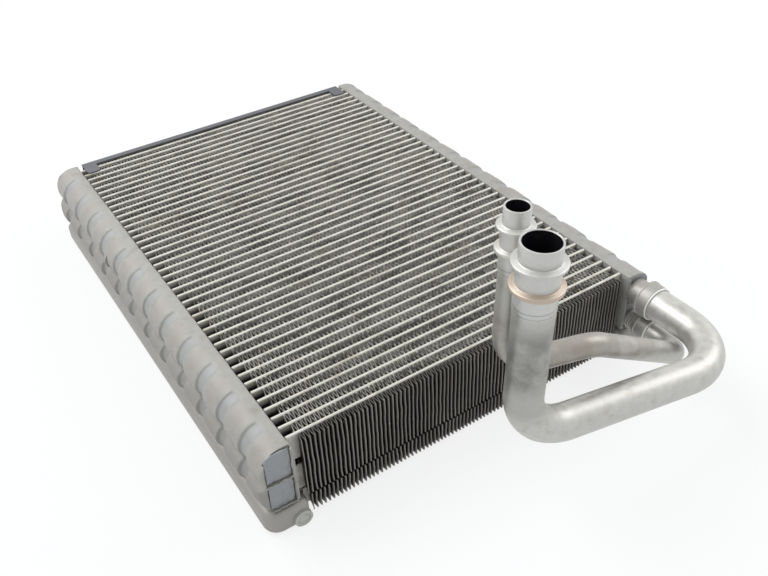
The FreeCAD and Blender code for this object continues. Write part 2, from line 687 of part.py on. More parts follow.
# Storage tanks behind the main tanks. They carry the core's resting faces.
def storage_section(sketch, low, high, bottom, top, corner):
    outline(sketch, [
        (low + corner, bottom), (high - corner, bottom),
        (high, bottom + corner, corner, "right"), (high, top - corner),
        (high - corner, top, corner, "right"), (low + corner, top),
        (low, top - corner, corner, "right"), (low, bottom + corner),
        (low + corner, bottom, corner, "right")][1:])


def storage_limits(side, face, inset):
    """Left and right faces of a storage tank's section, moved in by an inset."""
    outer = face + (S.header_reach - inset) * side
    inner = face - (S.header_inner - inset) * side
    return sorted((outer, inner), key=lambda at: at.number)


def storage_tank(name, side, face, plug):
    label = name + "_storage_tank"
    body = new_body(label)
    near = -S.header_overhang
    shell = new_sketch(body, label + "_shell", "XZ_Plane", -near)
    low, high = storage_limits(side, face, ZERO)
    storage_section(shell, low, high, REST, TANK_BOTTOM, S.header_corner)
    whole = extrude(body, "Pad", shell, TANK_FAR - near, True)
    doc.recompute()

    nose = body.newObject("PartDesign::Fillet", label + "_nose")
    near_edges = ["Edge" + str(number) for number, edge in enumerate(whole.Shape.Edges, start=1)
                  if edge.BoundBox.YMax < near.number + 0.01]
    nose.Base = (whole, near_edges)
    nose.setExpression("Radius", S.header_nose.formula)

    wall = S.header_wall
    hollow = new_sketch(body, label + "_hollow", "XZ_Plane", -(near + wall * 2))
    low, high = storage_limits(side, face, wall)
    storage_section(hollow, low, high, REST + wall, TANK_BOTTOM - wall, S.header_corner - wall)
    extrude(body, "Pocket", hollow, TANK_FAR - near - wall * 2)
    if plug:
        hole = new_sketch(body, label + "_plug_hole", "XZ_Plane", -near)
        circle(hole, face + S.plug_offset * side, REST + S.plug_height, S.plug_shank)
        extrude(body, "Pocket", hole, wall * 2)

    lid_label = name + "_storage_cap"
    lid = new_body(lid_label)
    lid_sketch = new_sketch(lid, lid_label + "_face", "XZ_Plane", -(TANK_FAR - wall))
    storage_section(lid_sketch, low, high, REST + wall, TANK_BOTTOM - wall, S.header_corner - wall)
    extrude(lid, "Pad", lid_sketch, wall, True)


storage_tank("left", -1, ZERO, plug=True)
storage_tank("right", 1, S.core_width, plug=False)

plug = new_body("storage_plug", -S.plug_offset, -S.header_overhang, REST + S.plug_height)
turned(plug, "storage_plug_profile", [
    (ZERO, -S.plug_head), (S.plug_radius - S.plug_head / 2, -S.plug_head),
    (S.plug_radius, -S.plug_head / 2), (S.plug_radius, ZERO), (S.plug_shank, ZERO),
    (S.plug_shank, S.header_wall * 2), (ZERO, S.header_wall * 2)])


# Side plate over the fin at the far end, with two tabs folded over the face
side_plate = new_body("side_plate")
FAR_FIN = STACK + S.tube_pitch - S.tube_thickness / 2
plate_out = FAR_FIN + S.side_sheet
plate_section = new_sketch(side_plate, "side_plate_section", "YZ_Plane", S.side_inset)
outline(plate_section, [
    (FAR_FIN, STORAGE_BOTTOM), (plate_out - S.side_foot, STORAGE_BOTTOM),
    (plate_out - S.side_foot, STORAGE_BOTTOM - S.side_sheet),
    (plate_out, STORAGE_BOTTOM - S.side_sheet), (plate_out, S.side_sheet),
    (plate_out - S.side_lip, S.side_sheet), (plate_out - S.side_lip, ZERO), (FAR_FIN, ZERO)])
extrude(side_plate, "Pad", plate_section, S.core_width - S.side_inset * 2)
tab_root = plate_out - S.side_lip
for tab_name, tab_low in (("left_tab", S.side_inset),
                          ("right_tab", S.core_width - S.side_inset - S.tab_width)):
    tab = new_sketch(side_plate, tab_name, "XY_Plane")
    tab_end = tab_root - S.tab_reach
    tab_high = tab_low + S.tab_width
    outline(tab, [
        (tab_low, tab_root + 1), (tab_low, tab_end + S.tab_corner),
        (tab_low + S.tab_corner, tab_end, S.tab_corner, "right"),
        (tab_high - S.tab_corner, tab_end),
        (tab_high, tab_end + S.tab_corner, S.tab_corner, "right"),
        (tab_high, tab_root + 1)])
    extrude(side_plate, "Pad", tab, S.side_sheet)

# Its lower corners are cut back, so that the storage tanks pass beside it
side_end = S.core_width - S.side_inset
for notch_name, notch_low, notch_high in (
        ("left_notch", S.side_inset - 1, S.header_inner + S.side_gap),
        ("right_notch", S.core_width - S.header_inner - S.side_gap, side_end + 1)):
    notch = new_sketch(side_plate, notch_name, "XZ_Plane", -FAR_FIN + S.side_foot + 1)
    rectangle(notch, notch_low, notch_high, REST, TANK_BOTTOM + S.side_gap)
    extrude(side_plate, "Pocket", notch, S.side_foot + S.side_sheet + 2)


# Nipples on the near end of the right tank, and the filler rings at their mouths
def nipple(label, x, z, root_radius, neck, pipe_od, pipe_wall, rib):
    body = new_body(label, x, ZERO, z)
    pipe_radius = pipe_od / 2
    cup_in = pipe_radius + S.joint_clearance
    cup_out = cup_in + pipe_wall
    bore = root_radius - pipe_wall
    neck_bore = neck - pipe_wall
    inside = TANK_NEAR + S.cap_recess + S.cap_thickness
    shoulder = TANK_NEAR - pipe_wall
    cup_floor = PIPE_START
    bead = cup_floor + pipe_wall
    bead_out = cup_out + S.cup_bead
    slope = (S.cup_bead_width - S.cup_bead) / 3
    ribs = []
    if rib.number > 0:
        for ring in range(3):
            top = TANK_NEAR - S.rib_first - S.rib_spacing * ring
            ribs += [(neck, top), (neck + rib, top - S.rib_foot / 2), (neck, top - S.rib_foot)]
    turned(body, label + "_profile", [
        (bore, inside), (root_radius, inside), (root_radius, TANK_NEAR), (neck, TANK_NEAR)]
        + ribs
        + [(neck, bead + slope + slope), (bead_out, bead), (bead_out, bead - slope),
           (cup_out, bead - slope - S.cup_bead), (cup_out, JOINT_MOUTH), (cup_in, JOINT_MOUTH),
           (cup_in, cup_floor), (neck_bore, cup_floor), (neck_bore, shoulder), (bore, shoulder)])


nipple("suction_nipple", SUCTION_X, SUCTION_Z, S.suction_root, S.suction_neck,
       S.suction_pipe_od, S.suction_wall, ZERO)
nipple("liquid_nipple", LIQUID_X, LIQUID_Z, S.liquid_root, S.liquid_neck,
       S.liquid_pipe_od, S.liquid_wall, S.liquid_rib)


def filler_ring(label, x, z, pipe_od):
    body = new_body(label, x, ZERO, z)
    inner = pipe_od / 2
    outer = inner + S.ring_wire
    front = JOINT_MOUTH - S.ring_wire
    bevel = S.ring_wire * 0.3
    turned(body, label + "_wire", [
        (inner, JOINT_MOUTH), (inner, front + bevel), (inner + bevel, front),
        (outer - bevel, front), (outer, front + bevel), (outer, JOINT_MOUTH - bevel),
        (outer - bevel, JOINT_MOUTH)])


filler_ring("suction_filler_ring", SUCTION_X, SUCTION_Z, S.suction_pipe_od)
filler_ring("liquid_filler_ring", LIQUID_X, LIQUID_Z, S.liquid_pipe_od)


# Pipes: straight runs joined by tangent bends, with a spigot turned on the upper end
def vector(x, y, z):
    return FreeCAD.Vector(as_size(x).number, as_size(y).number, as_size(z).number)


def annulus(centre, direction, outer, inner):
    rim = Part.Face(Part.Wire(Part.makeCircle(outer, centre, direction)))
    bore = Part.Face(Part.Wire(Part.makeCircle(inner, centre, direction)))
    return rim.cut(bore).Faces[0]


def tube_along(points, radii, outer, inner):
    """Tube along straight runs with a tangent bend of the given radius at each corner."""
    pieces = []
    here = points[0]
    for before, corner, after, radius in zip(points, points[1:], points[2:], radii):
        along = (corner - before).normalize()
        onward = (after - corner).normalize()
        turn = along.getAngle(onward)
        setback = radius * math.tan(turn / 2)
        start = corner - along * setback
        axis = along.cross(onward).normalize()
        centre = start + axis.cross(along) * radius
        pieces.append(annulus(here, along, outer, inner).extrude(start - here))
        pieces.append(annulus(start, along, outer, inner).revolve(centre, axis, math.degrees(turn)))
        here = corner + onward * setback
    end = points[-1]
    pieces.append(annulus(here, (end - here).normalize(), outer, inner).extrude(end - here))
    return pieces


def upright(x, y, below):
    """Point on a leaning upright at a distance below its mouth, measured along it."""
    slant = math.hypot(1, LEAN.number)
    return vector(x - LEAN * below / slant, y, PORT_MOUTH - below / slant)


def spigot(x, y, bore, spigot_od, ring_od, groove_od, sleeve_od):
    """Beaded end of a pipe, turned about its own axis and then leant over."""
    bevel = S.ring_bevel.number
    ring = ring_od.number / 2
    profile = [(bore, 0), (spigot_od.number / 2, 0)]
    radius = spigot_od.number / 2
    for middle, width, below in (
            (-S.upper_ring.number, S.upper_ring_width.number, groove_od.number / 2),
            (-S.lower_ring.number, S.lower_ring_width.number, sleeve_od.number / 2)):
        top = middle + width / 2
        bottom = middle - width / 2
        profile += [(radius, top), (ring - bevel, top), (ring, top - bevel),
                    (ring, bottom + bevel), (ring - bevel, bottom), (below, bottom)]
        radius = below
    foot = -S.sleeve_end.number
    profile += [(radius, foot), (bore, foot)]
    spots = [FreeCAD.Vector(r, 0, z) for r, z in profile]
    middle = FreeCAD.Vector(0, 0, 0)
    face = Part.Face(Part.makePolygon(spots + spots[:1]))
    solid = face.revolve(middle, FreeCAD.Vector(0, 0, 1), 360)
    solid.rotate(middle, FreeCAD.Vector(0, 1, 0), math.degrees(math.atan(LEAN.number)))
    solid.translate(vector(x, y, PORT_MOUTH))
    return solid


def pipe(label, points, radii, outer_diameter, wall, end):
    outer = outer_diameter.number / 2
    pieces = tube_along(points, [radius.number for radius in radii], outer, outer - wall.number)
    item = doc.addObject("Part::Feature", label)
    item.Shape = pieces[0].fuse(pieces[1:] + [end]).removeSplitter()
    item.Label = label
    place(item)


suction_y = -S.suction_port_y
liquid_y = -S.liquid_port_y
pipe("suction_pipe", [
    vector(SUCTION_X, PIPE_START, SUCTION_Z),
    vector(SUCTION_X, -S.suction_corner_y, SUCTION_Z),
    vector(SUCTION_ELBOW_X, suction_y, -S.suction_elbow_down),
    upright(SUCTION_PORT_X, suction_y, S.sleeve_end)],
    [S.suction_corner_radius, S.suction_elbow_radius], S.suction_pipe_od, S.suction_wall,
    spigot(SUCTION_PORT_X, suction_y, (S.suction_pipe_od / 2 - S.suction_wall).number,
           S.suction_spigot_od, S.suction_ring_od, S.suction_groove_od, S.suction_sleeve_od))
pipe("liquid_pipe", [
    vector(LIQUID_X, PIPE_START, LIQUID_Z),
    vector(LIQUID_X, -S.liquid_corner_y, LIQUID_Z),
    vector(S.core_width - S.liquid_kink_in, -S.liquid_kink_y, S.liquid_kink_up),
    vector(LIQUID_ELBOW_X, liquid_y, S.liquid_elbow_up),
    upright(LIQUID_PORT_X, liquid_y, S.sleeve_end)],
    [S.liquid_corner_radius, S.liquid_kink_radius, S.liquid_elbow_radius],
    S.liquid_pipe_od, S.liquid_wall,
    spigot(LIQUID_PORT_X, liquid_y, (S.liquid_pipe_od / 2 - S.liquid_wall).number,
           S.liquid_spigot_od, S.liquid_ring_od, S.liquid_groove_od, S.liquid_sleeve_od))


# Every object has to be sound before anything is written
doc.recompute()
for item in doc.Objects:
    if "Invalid" in item.State or "Error" in item.State:
        raise RuntimeError("failed object: " + item.Label)
for item in sub_parts:
    if item.Shape.isNull() or not item.Shape.isValid():
        raise RuntimeError("unsound shape: " + item.Label)

os.makedirs("parts", exist_ok=True)
for item in sub_parts:
    item.Shape.exportStep(os.path.join("parts", item.Label + ".step"))
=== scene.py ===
import math

import bmesh
import bpy
from bpy.props import FloatProperty, FloatVectorProperty, IntProperty, PointerProperty
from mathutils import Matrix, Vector


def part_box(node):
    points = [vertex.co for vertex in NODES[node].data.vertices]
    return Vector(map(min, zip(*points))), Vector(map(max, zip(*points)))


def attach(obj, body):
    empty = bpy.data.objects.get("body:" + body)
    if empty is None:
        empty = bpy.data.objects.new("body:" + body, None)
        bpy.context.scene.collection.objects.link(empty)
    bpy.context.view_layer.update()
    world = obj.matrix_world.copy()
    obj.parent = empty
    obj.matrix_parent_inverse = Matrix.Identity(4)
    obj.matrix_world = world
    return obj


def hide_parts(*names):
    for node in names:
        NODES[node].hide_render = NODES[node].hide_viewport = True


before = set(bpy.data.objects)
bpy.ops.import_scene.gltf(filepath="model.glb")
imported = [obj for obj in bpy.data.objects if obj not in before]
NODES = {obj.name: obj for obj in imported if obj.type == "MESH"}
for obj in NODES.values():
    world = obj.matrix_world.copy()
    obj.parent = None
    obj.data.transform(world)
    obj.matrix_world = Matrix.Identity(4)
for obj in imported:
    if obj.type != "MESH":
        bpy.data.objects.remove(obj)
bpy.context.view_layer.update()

bl_info = {
    "name": "Evaporator core",
    "version": (1, 0, 0),
    "blender": (4, 5, 0),
    "location": "View3D > Sidebar > Evaporator",
    "description": "Dresses the solids of an automotive evaporator core",
    "category": "Object",
}

MM = 0.001

# Faces of the core that the pieces are set out from, read from the solids
TUBES_LOW, TUBES_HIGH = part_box("front_tubes_near")
TANK_LOW, TANK_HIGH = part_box("left_tank_cover")
PLATE_LOW, PLATE_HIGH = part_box("left_tube_plate")
CAP_LOW, CAP_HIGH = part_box("left_near_upper_cap")
MAIN_FIN_LOW, MAIN_FIN_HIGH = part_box("near_fin")
STORAGE_FIN_LOW, STORAGE_FIN_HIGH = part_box("near_storage_fin")
CORE_LEFT = TUBES_LOW[0]
CORE_RIGHT = TUBES_HIGH[0]
FACE = TUBES_HIGH[2]
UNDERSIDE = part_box("storage_tubes_near")[0][2]
LAST_TUBE = TUBES_LOW[1]
NEAR_CREST = MAIN_FIN_LOW[1]
TANK_MIDDLE = (TANK_LOW[2] + TANK_HIGH[2]) / 2

# Routes of the pipes from the nipples to the mouths, in millimetres, with the bend radius at
# each corner between
SUCTION_ROUTE = ((113.55, -129.57, 42.1), (113.55, -190.67, 42.1), (-18.70, -173.87, 52.1),
                 (-14.95, -173.87, 159.3))
SUCTION_BENDS = (30.0, 29.0)
LIQUID_ROUTE = ((112.85, -129.57, 22.7), (112.85, -159.67, 22.7), (32.95, -164.27, 75.4),
                (-9.12, -149.27, 71.6), (-6.05, -149.27, 159.3))
LIQUID_BENDS = (18.0, 20.0, 18.0)

# Marks on the uprights of the pipes, in millimetres above the floor
ETCHED_MIDDLE, ETCHED_HALF = 98, 22
BRIGHT_START, BRIGHT_END = 125.5, 128
RING_LEVEL = 138.4
TURNED_LINES = (127.8, 130.2)

# Where a wavy seam leaves its straight line, step by step, in millimetres
SEAM_WOBBLE = (0.0, 0.45, -0.27, 0.18, 0.63, 0.09, -0.54, 0.27, -0.18, 0.36, 0.0)

# Clear length at each end of a fin
FIN_END_GAP = 0.4 * MM

# Depth of the pipes' bores below their mouths, and height of the cutters that pass right
# through a tank
BORE_DEPTH = 62.0 * MM
CUTTER_HEIGHT = 60.0 * MM

# Seams at a tank's near end, in millimetres: how far they reach out from the core, and how far
# down and, on the left and on the right, up from the tank's middle
SEAM_START, SEAM_END = 1.3, 15.6
SEAM_DOWN = 17.6
SEAM_UP = {-1: 19.0, 1: 17.4}

# The photograph's camera: place in metres, turn in degrees and focal length in millimetres
CAMERA_PLACE = (-0.20541, -0.36813, 0.34707)
CAMERA_TURN = (52.045, 2.236, -33.271)
CAMERA_LENS = 40.18

# Share of plain white in what the camera sees of the floor, and strength of the dome's light
FLOOR_WHITE = 0.8
DOME_LIGHT = 0.62


def linear(code):
    """Linear RGB of an sRGB hex colour."""
    values = [int(code[place:place + 2], 16) / 255 for place in (0, 2, 4)]
    return [v / 12.92 if v <= 0.04045 else ((v + 0.055) / 1.055) ** 2.4 for v in values]


def colour(name, description, code):
    """Colour setting whose default is an sRGB hex colour."""
    return FloatVectorProperty(
        name=name, description=description, subtype="COLOR", size=3, min=0.0, max=1.0,
        default=linear(code))


def length(name, description, millimetres):
    """Length setting whose default is given in millimetres."""
    return FloatProperty(
        name=name, description=description, unit="LENGTH", default=millimetres * MM)


class EvaporatorSizes(bpy.types.PropertyGroup):
    """Sizes of the dressed pieces."""

    tube_pitch: length("Tube pitch", "Spacing of the flat tubes", 7.15)
    tube_thickness: length("Tube thickness", "Thickness of a flat tube", 1.7)
    fin_wave: length("Fin wave", "Length of one wave of a fin", 2.38)
    fin_crest: length("Fin crest", "Width of a wave's flat crest", 0.42)
    fin_sheet: length("Fin sheet", "Thickness of the fin sheet", 0.3)
    fin_sway: length("Fin sway", "How far the folds of a bent fin wander", 0.9)


class TankSizes(bpy.types.PropertyGroup):
    """Sizes of the pressed side tanks."""

    band: length("Band", "Flat band beside the tubes", 5.0)
    upper_reach: length("Upper reach", "How far the upper chamber stands out", 18.2)
    waist_reach: length("Waist reach", "How far the waist between the chambers stands out", 15.4)
    lower_level: length("Lower level", "Bulge of the lower chamber below the waist", 8.0)
    groove_top: length("Groove top", "Depth of a groove beside the band", 0.8)
    groove_depth: length("Groove depth", "Depth of a groove on the upper chamber", 1.4)
    groove_waist: length("Groove waist", "Depth of a groove at the waist", 1.0)
    lower_reach: length("Lower reach", "How far the lower chamber stands out", 20.6)
    groove_lower: length("Lower groove", "Depth of a groove on the lower chamber", 1.9)
    groove_width: length("Groove width", "Width of a groove", 8.0)
    groove_tip: length("Groove tip", "Rounded tip of a groove from the tubes' ends", 5.7)
    groove_first: length("First groove", "First groove from the nearest tube", 12.7)
    groove_pitch: length("Groove pitch", "Spacing of the grooves", 25.025)
    groove_count: IntProperty(name="Grooves", description="Grooves along a tank", default=12)
    end_width: length("End width", "Width of a tank's narrowed end", 16.8)
    end_length: length("End length", "Length of a tank's narrowed end", 8.2)
    voxel: length("Voxel", "Grid of the softened pressing", 0.7)
    dent: length("Dents", "Depth of the unevenness of a pressed tank", 0.8)


class PipeSizes(bpy.types.PropertyGroup):
    """Radii of the pipes and of their rolled rings."""

    suction: length("Suction pipe", "Outer radius of the suction pipe", 9.0)
    suction_bore: length("Suction bore", "Inner radius of the suction pipe", 7.95)
    suction_neck: length("Suction neck", "Outer radius between its rings", 9.35)
    suction_ring: length("Suction ring", "Outer radius of its rings", 11.75)
    liquid: length("Liquid pipe", "Outer radius of the liquid pipe", 6.05)
    liquid_bore: length("Liquid bore", "Inner radius of the liquid pipe", 5.0)
    liquid_neck: length("Liquid neck", "Outer radius between its rings", 6.35)
    liquid_ring: length("Liquid ring", "Outer radius of its rings", 8.55)
    dent: length("Dents", "Depth of the unevenness of a drawn pipe", 0.22)


class EndSizes(bpy.types.PropertyGroup):
    """Sizes of the storage tanks, of their plug and of the end caps."""

    reach: length("Reach", "How far a storage tank stands out from the core", 19.0)
    overlap: length("Overlap", "How far a storage tank reaches in over the core", 4.3)
    corner: length("Corner", "Rounding of a storage tank's near outer corner", 8.0)
    edge: length("Edges", "Rounding of a storage tank's other edges", 4.2)
    plug: length("Plug", "Radius of the filling plug", 4.9)
    cap_corner: length("Cap corner", "Rounding of the upper cap's outer corner", 4.5)
    cap_voxel: length("Cap voxel", "Grid of the dented caps", 0.45)
    cap_dent: length("Cap dents", "Depth of the dents in the caps", 1.1)
    seam: length("Seam", "Radius of the crimped seams", 0.5)


class EvaporatorColours(bpy.types.PropertyGroup):
    """Colours of the finishes."""

    tube: colour("Tube", "Brazed tube edges", "d0cec5")
    fin: colour("Fin", "Fin sheet", "b0ada4")
    near_fin: colour("Near fin", "Dusty folds of the near fins", "85817c")
    tank: colour("Tank", "Pressed side tanks", "a3a29d")
    cap: colour("Cap", "End caps", "95979a")
    plug: colour("Plug", "Filling plug", "b9bab4")
    storage: colour("Storage tank", "Extruded storage tanks", "9d9a95")
    side_plate: colour("Side plate", "Darkened side plate", "6a6c6f")
    pipe: colour("Pipe", "Drawn pipes", "c2c1bc")
    nipple: colour("Nipple", "Turned nipples", "a7a59f")
    filler: colour("Filler ring", "Brazing filler", "e4e4e0")
    stain: colour("Stain", "Water stains and dirt", "7d6f58")
    # Painted shade deep between the tubes and fins and beside the caps' seam, and dust streaks on
    # the fins
    painted_shade_and_dust: colour("Inside", "Dusty shade between the tubes", "171512")
    speck: colour("Specks", "Lint and dust caught by the fins", "e2dfd4")
    groove: colour("Groove", "Pressed grooves of the tanks", "9fa1a1")
    # Painted shade on the lower half of the tanks
    lower: colour("Lower chamber", "Lower half of the tanks", "868480")
    dome: colour("Dome", "Rounded domes of the tanks", "a39d98")
    # Painted shadow along the far edge of each pressed groove
    seam: colour("Seam", "Shaded edge of a pressed groove", "85827d")
    # Painted shade inside the pipes' bores
    bore: colour("Bore", "Oily insides of the pipes", "1e1d22")
    bright: colour("Bright end", "Brushed ends of the pipes", "cccdca")
    dusty: colour("Dusty", "Browned length of the liquid pipe", "958c82")
    ring: colour("Ring", "Stained ring of the suction pipe", "b9a48e")
    scorched: colour("Scorched", "Darker patch on the suction pipe", "767673")
    etched: colour("Etched", "Dull length of the uprights", "9b9b94")
    floor: colour("Floor", "Studio floor", "f4f6f7")


def sizes():
    """Sizes of the tubes and fins."""
    return bpy.context.scene.evaporator_sizes


def tank_sizes():
    """Sizes of the side tanks."""
    return bpy.context.scene.evaporator_tank


def pipe_sizes():
    """Sizes of the pipes."""
    return bpy.context.scene.evaporator_pipes


def end_sizes():
    """Sizes of the storage tanks and caps."""
    return bpy.context.scene.evaporator_ends


def colours():
    """Colours of the finishes."""
    return bpy.context.scene.evaporator_colours


# Materials

def add_node(tree, kind, settings=(), inputs=()):
    """Add a shader node; an input takes a value or the output socket that feeds it."""
    made = tree.nodes.new(kind)
    for name, value in dict(settings).items():
        setattr(made, name, value)
    for name, value in dict(inputs).items():
        socket = made.inputs[name]
        if isinstance(value, bpy.types.NodeSocket):
            tree.links.new(value, socket)
        else:
            socket.default_value = value
    return made


def rgba(values):
    """Three colour values as the four that a colour socket takes."""
    return (*values, 1.0)


def tint(values, factor):
    """A colour made lighter or darker by a factor."""
    return tuple(min(value * factor, 1.0) for value in values)


def darkened_inside(tree, place, surface, near_face, start_mm, end_mm):
    """Painted shade, with dust, between the tubes: the surface darkens with its depth behind the
    core's upper, lower and near faces."""
    split = add_node(tree, "ShaderNodeSeparateXYZ", inputs={"Vector": place})
    depths = [add_node(tree, "ShaderNodeMath", {"operation": "SUBTRACT"}, {0: more, 1: less})
              for more, less in ((FACE, split.outputs["Z"]), (split.outputs["Z"], UNDERSIDE),
                                 (split.outputs["Y"], near_face))]
    nearest = depths[0]
    for depth in depths[1:]:
        nearest = add_node(tree, "ShaderNodeMath", {"operation": "MINIMUM"}, {
            0: nearest.outputs[0], 1: depth.outputs[0]})
    inside = add_node(tree, "ShaderNodeMapRange", {"interpolation_type": "SMOOTHSTEP"}, {
        "Value": nearest.outputs[0], "From Min": start_mm * MM, "From Max": end_mm * MM,
        "To Min": 0.0, "To Max": 0.95})
    return layered(tree, surface, [(inside.outputs["Result"], colours().painted_shade_and_dust)])


def brazed_aluminium(name, base, grain_mm, mottle_mm, roughness, metallic, bump_mm,
                     contrast, stain_amount, stain_mm, painted_shade_and_dust=None):
    """Aluminium after controlled-atmosphere brazing: satin, with a cloudy flux bloom, faint
    stains and a fine grain."""
    material = bpy.data.materials.new(name)
    material.use_nodes = True
    tree = material.node_tree
    tree.nodes.clear()
    place = add_node(tree, "ShaderNodeTexCoord").outputs["Object"]
    mottle = add_node(tree, "ShaderNodeTexNoise", inputs={
        "Vector": place, "Scale": 1 / (mottle_mm * MM), "Detail": 5.0, "Roughness": 0.6})
    tone = add_node(tree, "ShaderNodeMix", {"data_type": "RGBA"}, {
        0: mottle.outputs["Fac"],
        6: rgba(tint(base, 1 - contrast)),
        7: rgba(tint(base, 1 + contrast))})
    stain_noise = add_node(tree, "ShaderNodeTexNoise", inputs={
        "Vector": place, "Scale": 1 / (stain_mm * MM), "Detail": 7.0, "Roughness": 0.65,
        "Distortion": 0.4})
    stain_mask = add_node(tree, "ShaderNodeMapRange", {"clamp": True}, {
        "Value": stain_noise.outputs["Fac"], "From Min": 0.55, "From Max": 0.72,
        "To Min": 0.0, "To Max": stain_amount})
    surface = layered(tree, tone.outputs[2], [(stain_mask.outputs["Result"], colours().stain)])
    if painted_shade_and_dust:
        surface = darkened_inside(tree, place, surface, *painted_shade_and_dust)
    grain = add_node(tree, "ShaderNodeTexNoise", inputs={
        "Vector": place, "Scale": 1 / (grain_mm * MM), "Detail": 2.0})
    rough = add_node(tree, "ShaderNodeMapRange", inputs={
        "Value": mottle.outputs["Fac"], "From Min": 0.25, "From Max": 0.75,
        "To Min": roughness - 0.08, "To Max": roughness + 0.12})
    bump = add_node(tree, "ShaderNodeBump", inputs={
        "Height": grain.outputs["Fac"], "Distance": bump_mm * MM, "Strength": 0.5})
    shader = add_node(tree, "ShaderNodeBsdfPrincipled", inputs={
        "Base Color": surface, "Metallic": metallic,
        "Roughness": rough.outputs["Result"], "Normal": bump.outputs["Normal"]})
    add_node(tree, "ShaderNodeOutputMaterial", inputs={"Surface": shader.outputs["BSDF"]})
    return material


def shader_parts(material):
    """The shader, the colour that feeds it and the object coordinates of a finish."""
    tree = material.node_tree
    shader = next(item for item in tree.nodes if item.type == "BSDF_PRINCIPLED")
    surface = shader.inputs["Base Color"].links[0].from_socket
    place = next(item for item in tree.nodes if item.type == "TEX_COORD").outputs["Object"]
    return tree, shader, surface, place


def layered(tree, surface, layers):
    """Colours laid over a surface in turn, each through its own mask."""
    for mask, code in layers:
        surface = add_node(tree, "ShaderNodeMix", {"data_type": "RGBA"}, {
            0: mask, 6: surface, 7: rgba(code)}).outputs[2]
    return surface


def band(tree, value, middle, half, soft, strength, inside=None):
    """Mask that is at its strength near the middle value and fades out beyond the half width,
    within another mask where one is given."""
    off = add_node(tree, "ShaderNodeMath", {"operation": "SUBTRACT"}, {0: value, 1: middle})
    away = add_node(tree, "ShaderNodeMath", {"operation": "ABSOLUTE"}, {0: off.outputs[0]})
    mask = add_node(tree, "ShaderNodeMapRange", {"interpolation_type": "SMOOTHSTEP"}, {
        "Value": away.outputs[0], "From Min": half, "From Max": half + soft,
        "To Min": strength, "To Max": 0.0}).outputs["Result"]
    if inside is not None:
        mask = add_node(tree, "ShaderNodeMath", {"operation": "MULTIPLY"}, {
            0: mask, 1: inside}).outputs[0]
    return mask


def dress(node_names, material):
    """Give CAD nodes a material."""
    for name in node_names:
        mesh = NODES[name].data
        mesh.materials.clear()
        mesh.materials.append(material)


def matching(word):
    """Names of the nodes that hold the word."""
    return [name for name in NODES if word in name]


# Modelling helpers

def start():
    """Leave edit mode and deselect everything."""
    if bpy.context.object and bpy.context.object.mode != "OBJECT":
        bpy.ops.object.mode_set(mode="OBJECT")
    bpy.ops.object.select_all(action="DESELECT")


def hold(piece):
    """Select this piece alone and make it the active one."""
    start()
    bpy.context.view_layer.objects.active = piece
    piece.select_set(True)


def settle(piece, name, material, replaced):
    """Name a finished piece, put its place in its mesh and tie it to the core, in the place of
    the nodes that it stands for."""
    hold(piece)
    bpy.ops.object.transform_apply()
    piece.name = name
    piece.data.name = name
    piece.data.materials.clear()
    piece.data.materials.append(material)
    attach(piece, "root")
    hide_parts(*replaced)
    start()


def apply_modifiers(piece):
    """Apply the piece's modifiers in order."""
    hold(piece)
    for modifier in list(piece.modifiers):
        bpy.ops.object.modifier_apply(modifier=modifier.name)


def smooth(piece, degrees):
    """Shade the piece smooth, apart from edges sharper than the angle."""
    hold(piece)
    bpy.ops.object.shade_smooth_by_angle(angle=math.radians(degrees))


def join(pieces):
    """Join the pieces into the first one."""
    start()
    for piece in pieces:
        piece.select_set(True)
    bpy.context.view_layer.objects.active = pieces[0]
    bpy.ops.object.join()


def repeat(piece, step, count):
    """Modifier that sets out the piece in a row at a fixed step."""
    row = piece.modifiers.new("row", "ARRAY")
    row.use_relative_offset = False
    row.use_constant_offset = True
    row.constant_offset_displace = step
    row.count = count
    return row


def remesh(piece, voxel):
    """Modifier that draws the piece anew on a fine even grid."""
    grid = piece.modifiers.new("grid", "REMESH")
    grid.mode = "VOXEL"
    grid.voxel_size = voxel


def uneven(piece, name, size_mm, depth, middle, direction="NORMAL", detail=2):
    """Shallow unevenness, as handling leaves it in soft aluminium. A middle of 1 keeps it all
    below the surface; along one axis it lets folds wander to and fro."""
    texture = bpy.data.textures.new(name, "CLOUDS")
    texture.noise_scale = size_mm * MM
    texture.noise_depth = detail
    wave = piece.modifiers.new(name, "DISPLACE")
    wave.texture = texture
    wave.texture_coords = "LOCAL"
    wave.direction = direction
    wave.strength = depth
    wave.mid_level = middle
    apply_modifiers(piece)


def block(low, high):
    """Plain block between two opposite corners."""
    start()
    span = Vector(high) - Vector(low)
    bpy.ops.mesh.primitive_cube_add(size=1, location=Vector(low) + span / 2)
    piece = bpy.context.object
    piece.scale = [abs(extent) for extent in span]
    bpy.ops.object.transform_apply()
    return piece


def disc(centre, along, radius, corners):
    """Flat filled ring across a direction."""
    start()
    bpy.ops.mesh.primitive_circle_add(
        vertices=corners, radius=radius, fill_type="NGON", location=centre,
        rotation=along.to_track_quat("Z", "Y").to_euler())
    bpy.ops.object.transform_apply()
    return bpy.context.object


def cut(piece, cutter):
    """Take the cutter out of the piece."""
    knife = piece.modifiers.new("cut", "BOOLEAN")
    knife.operation = "DIFFERENCE"
    knife.solver = "EXACT"
    knife.object = cutter
    apply_modifiers(piece)
    bpy.data.objects.remove(cutter)


def push(offset):
    """In edit mode, extrude what is selected by an offset."""
    bpy.ops.mesh.extrude_region_move(TRANSFORM_OT_translate={"value": tuple(offset)})


def close():
    """Turn all faces outwards and leave edit mode."""
    bpy.ops.mesh.select_all(action="SELECT")
    bpy.ops.mesh.normals_make_consistent(inside=False)
    bpy.ops.object.mode_set(mode="OBJECT")


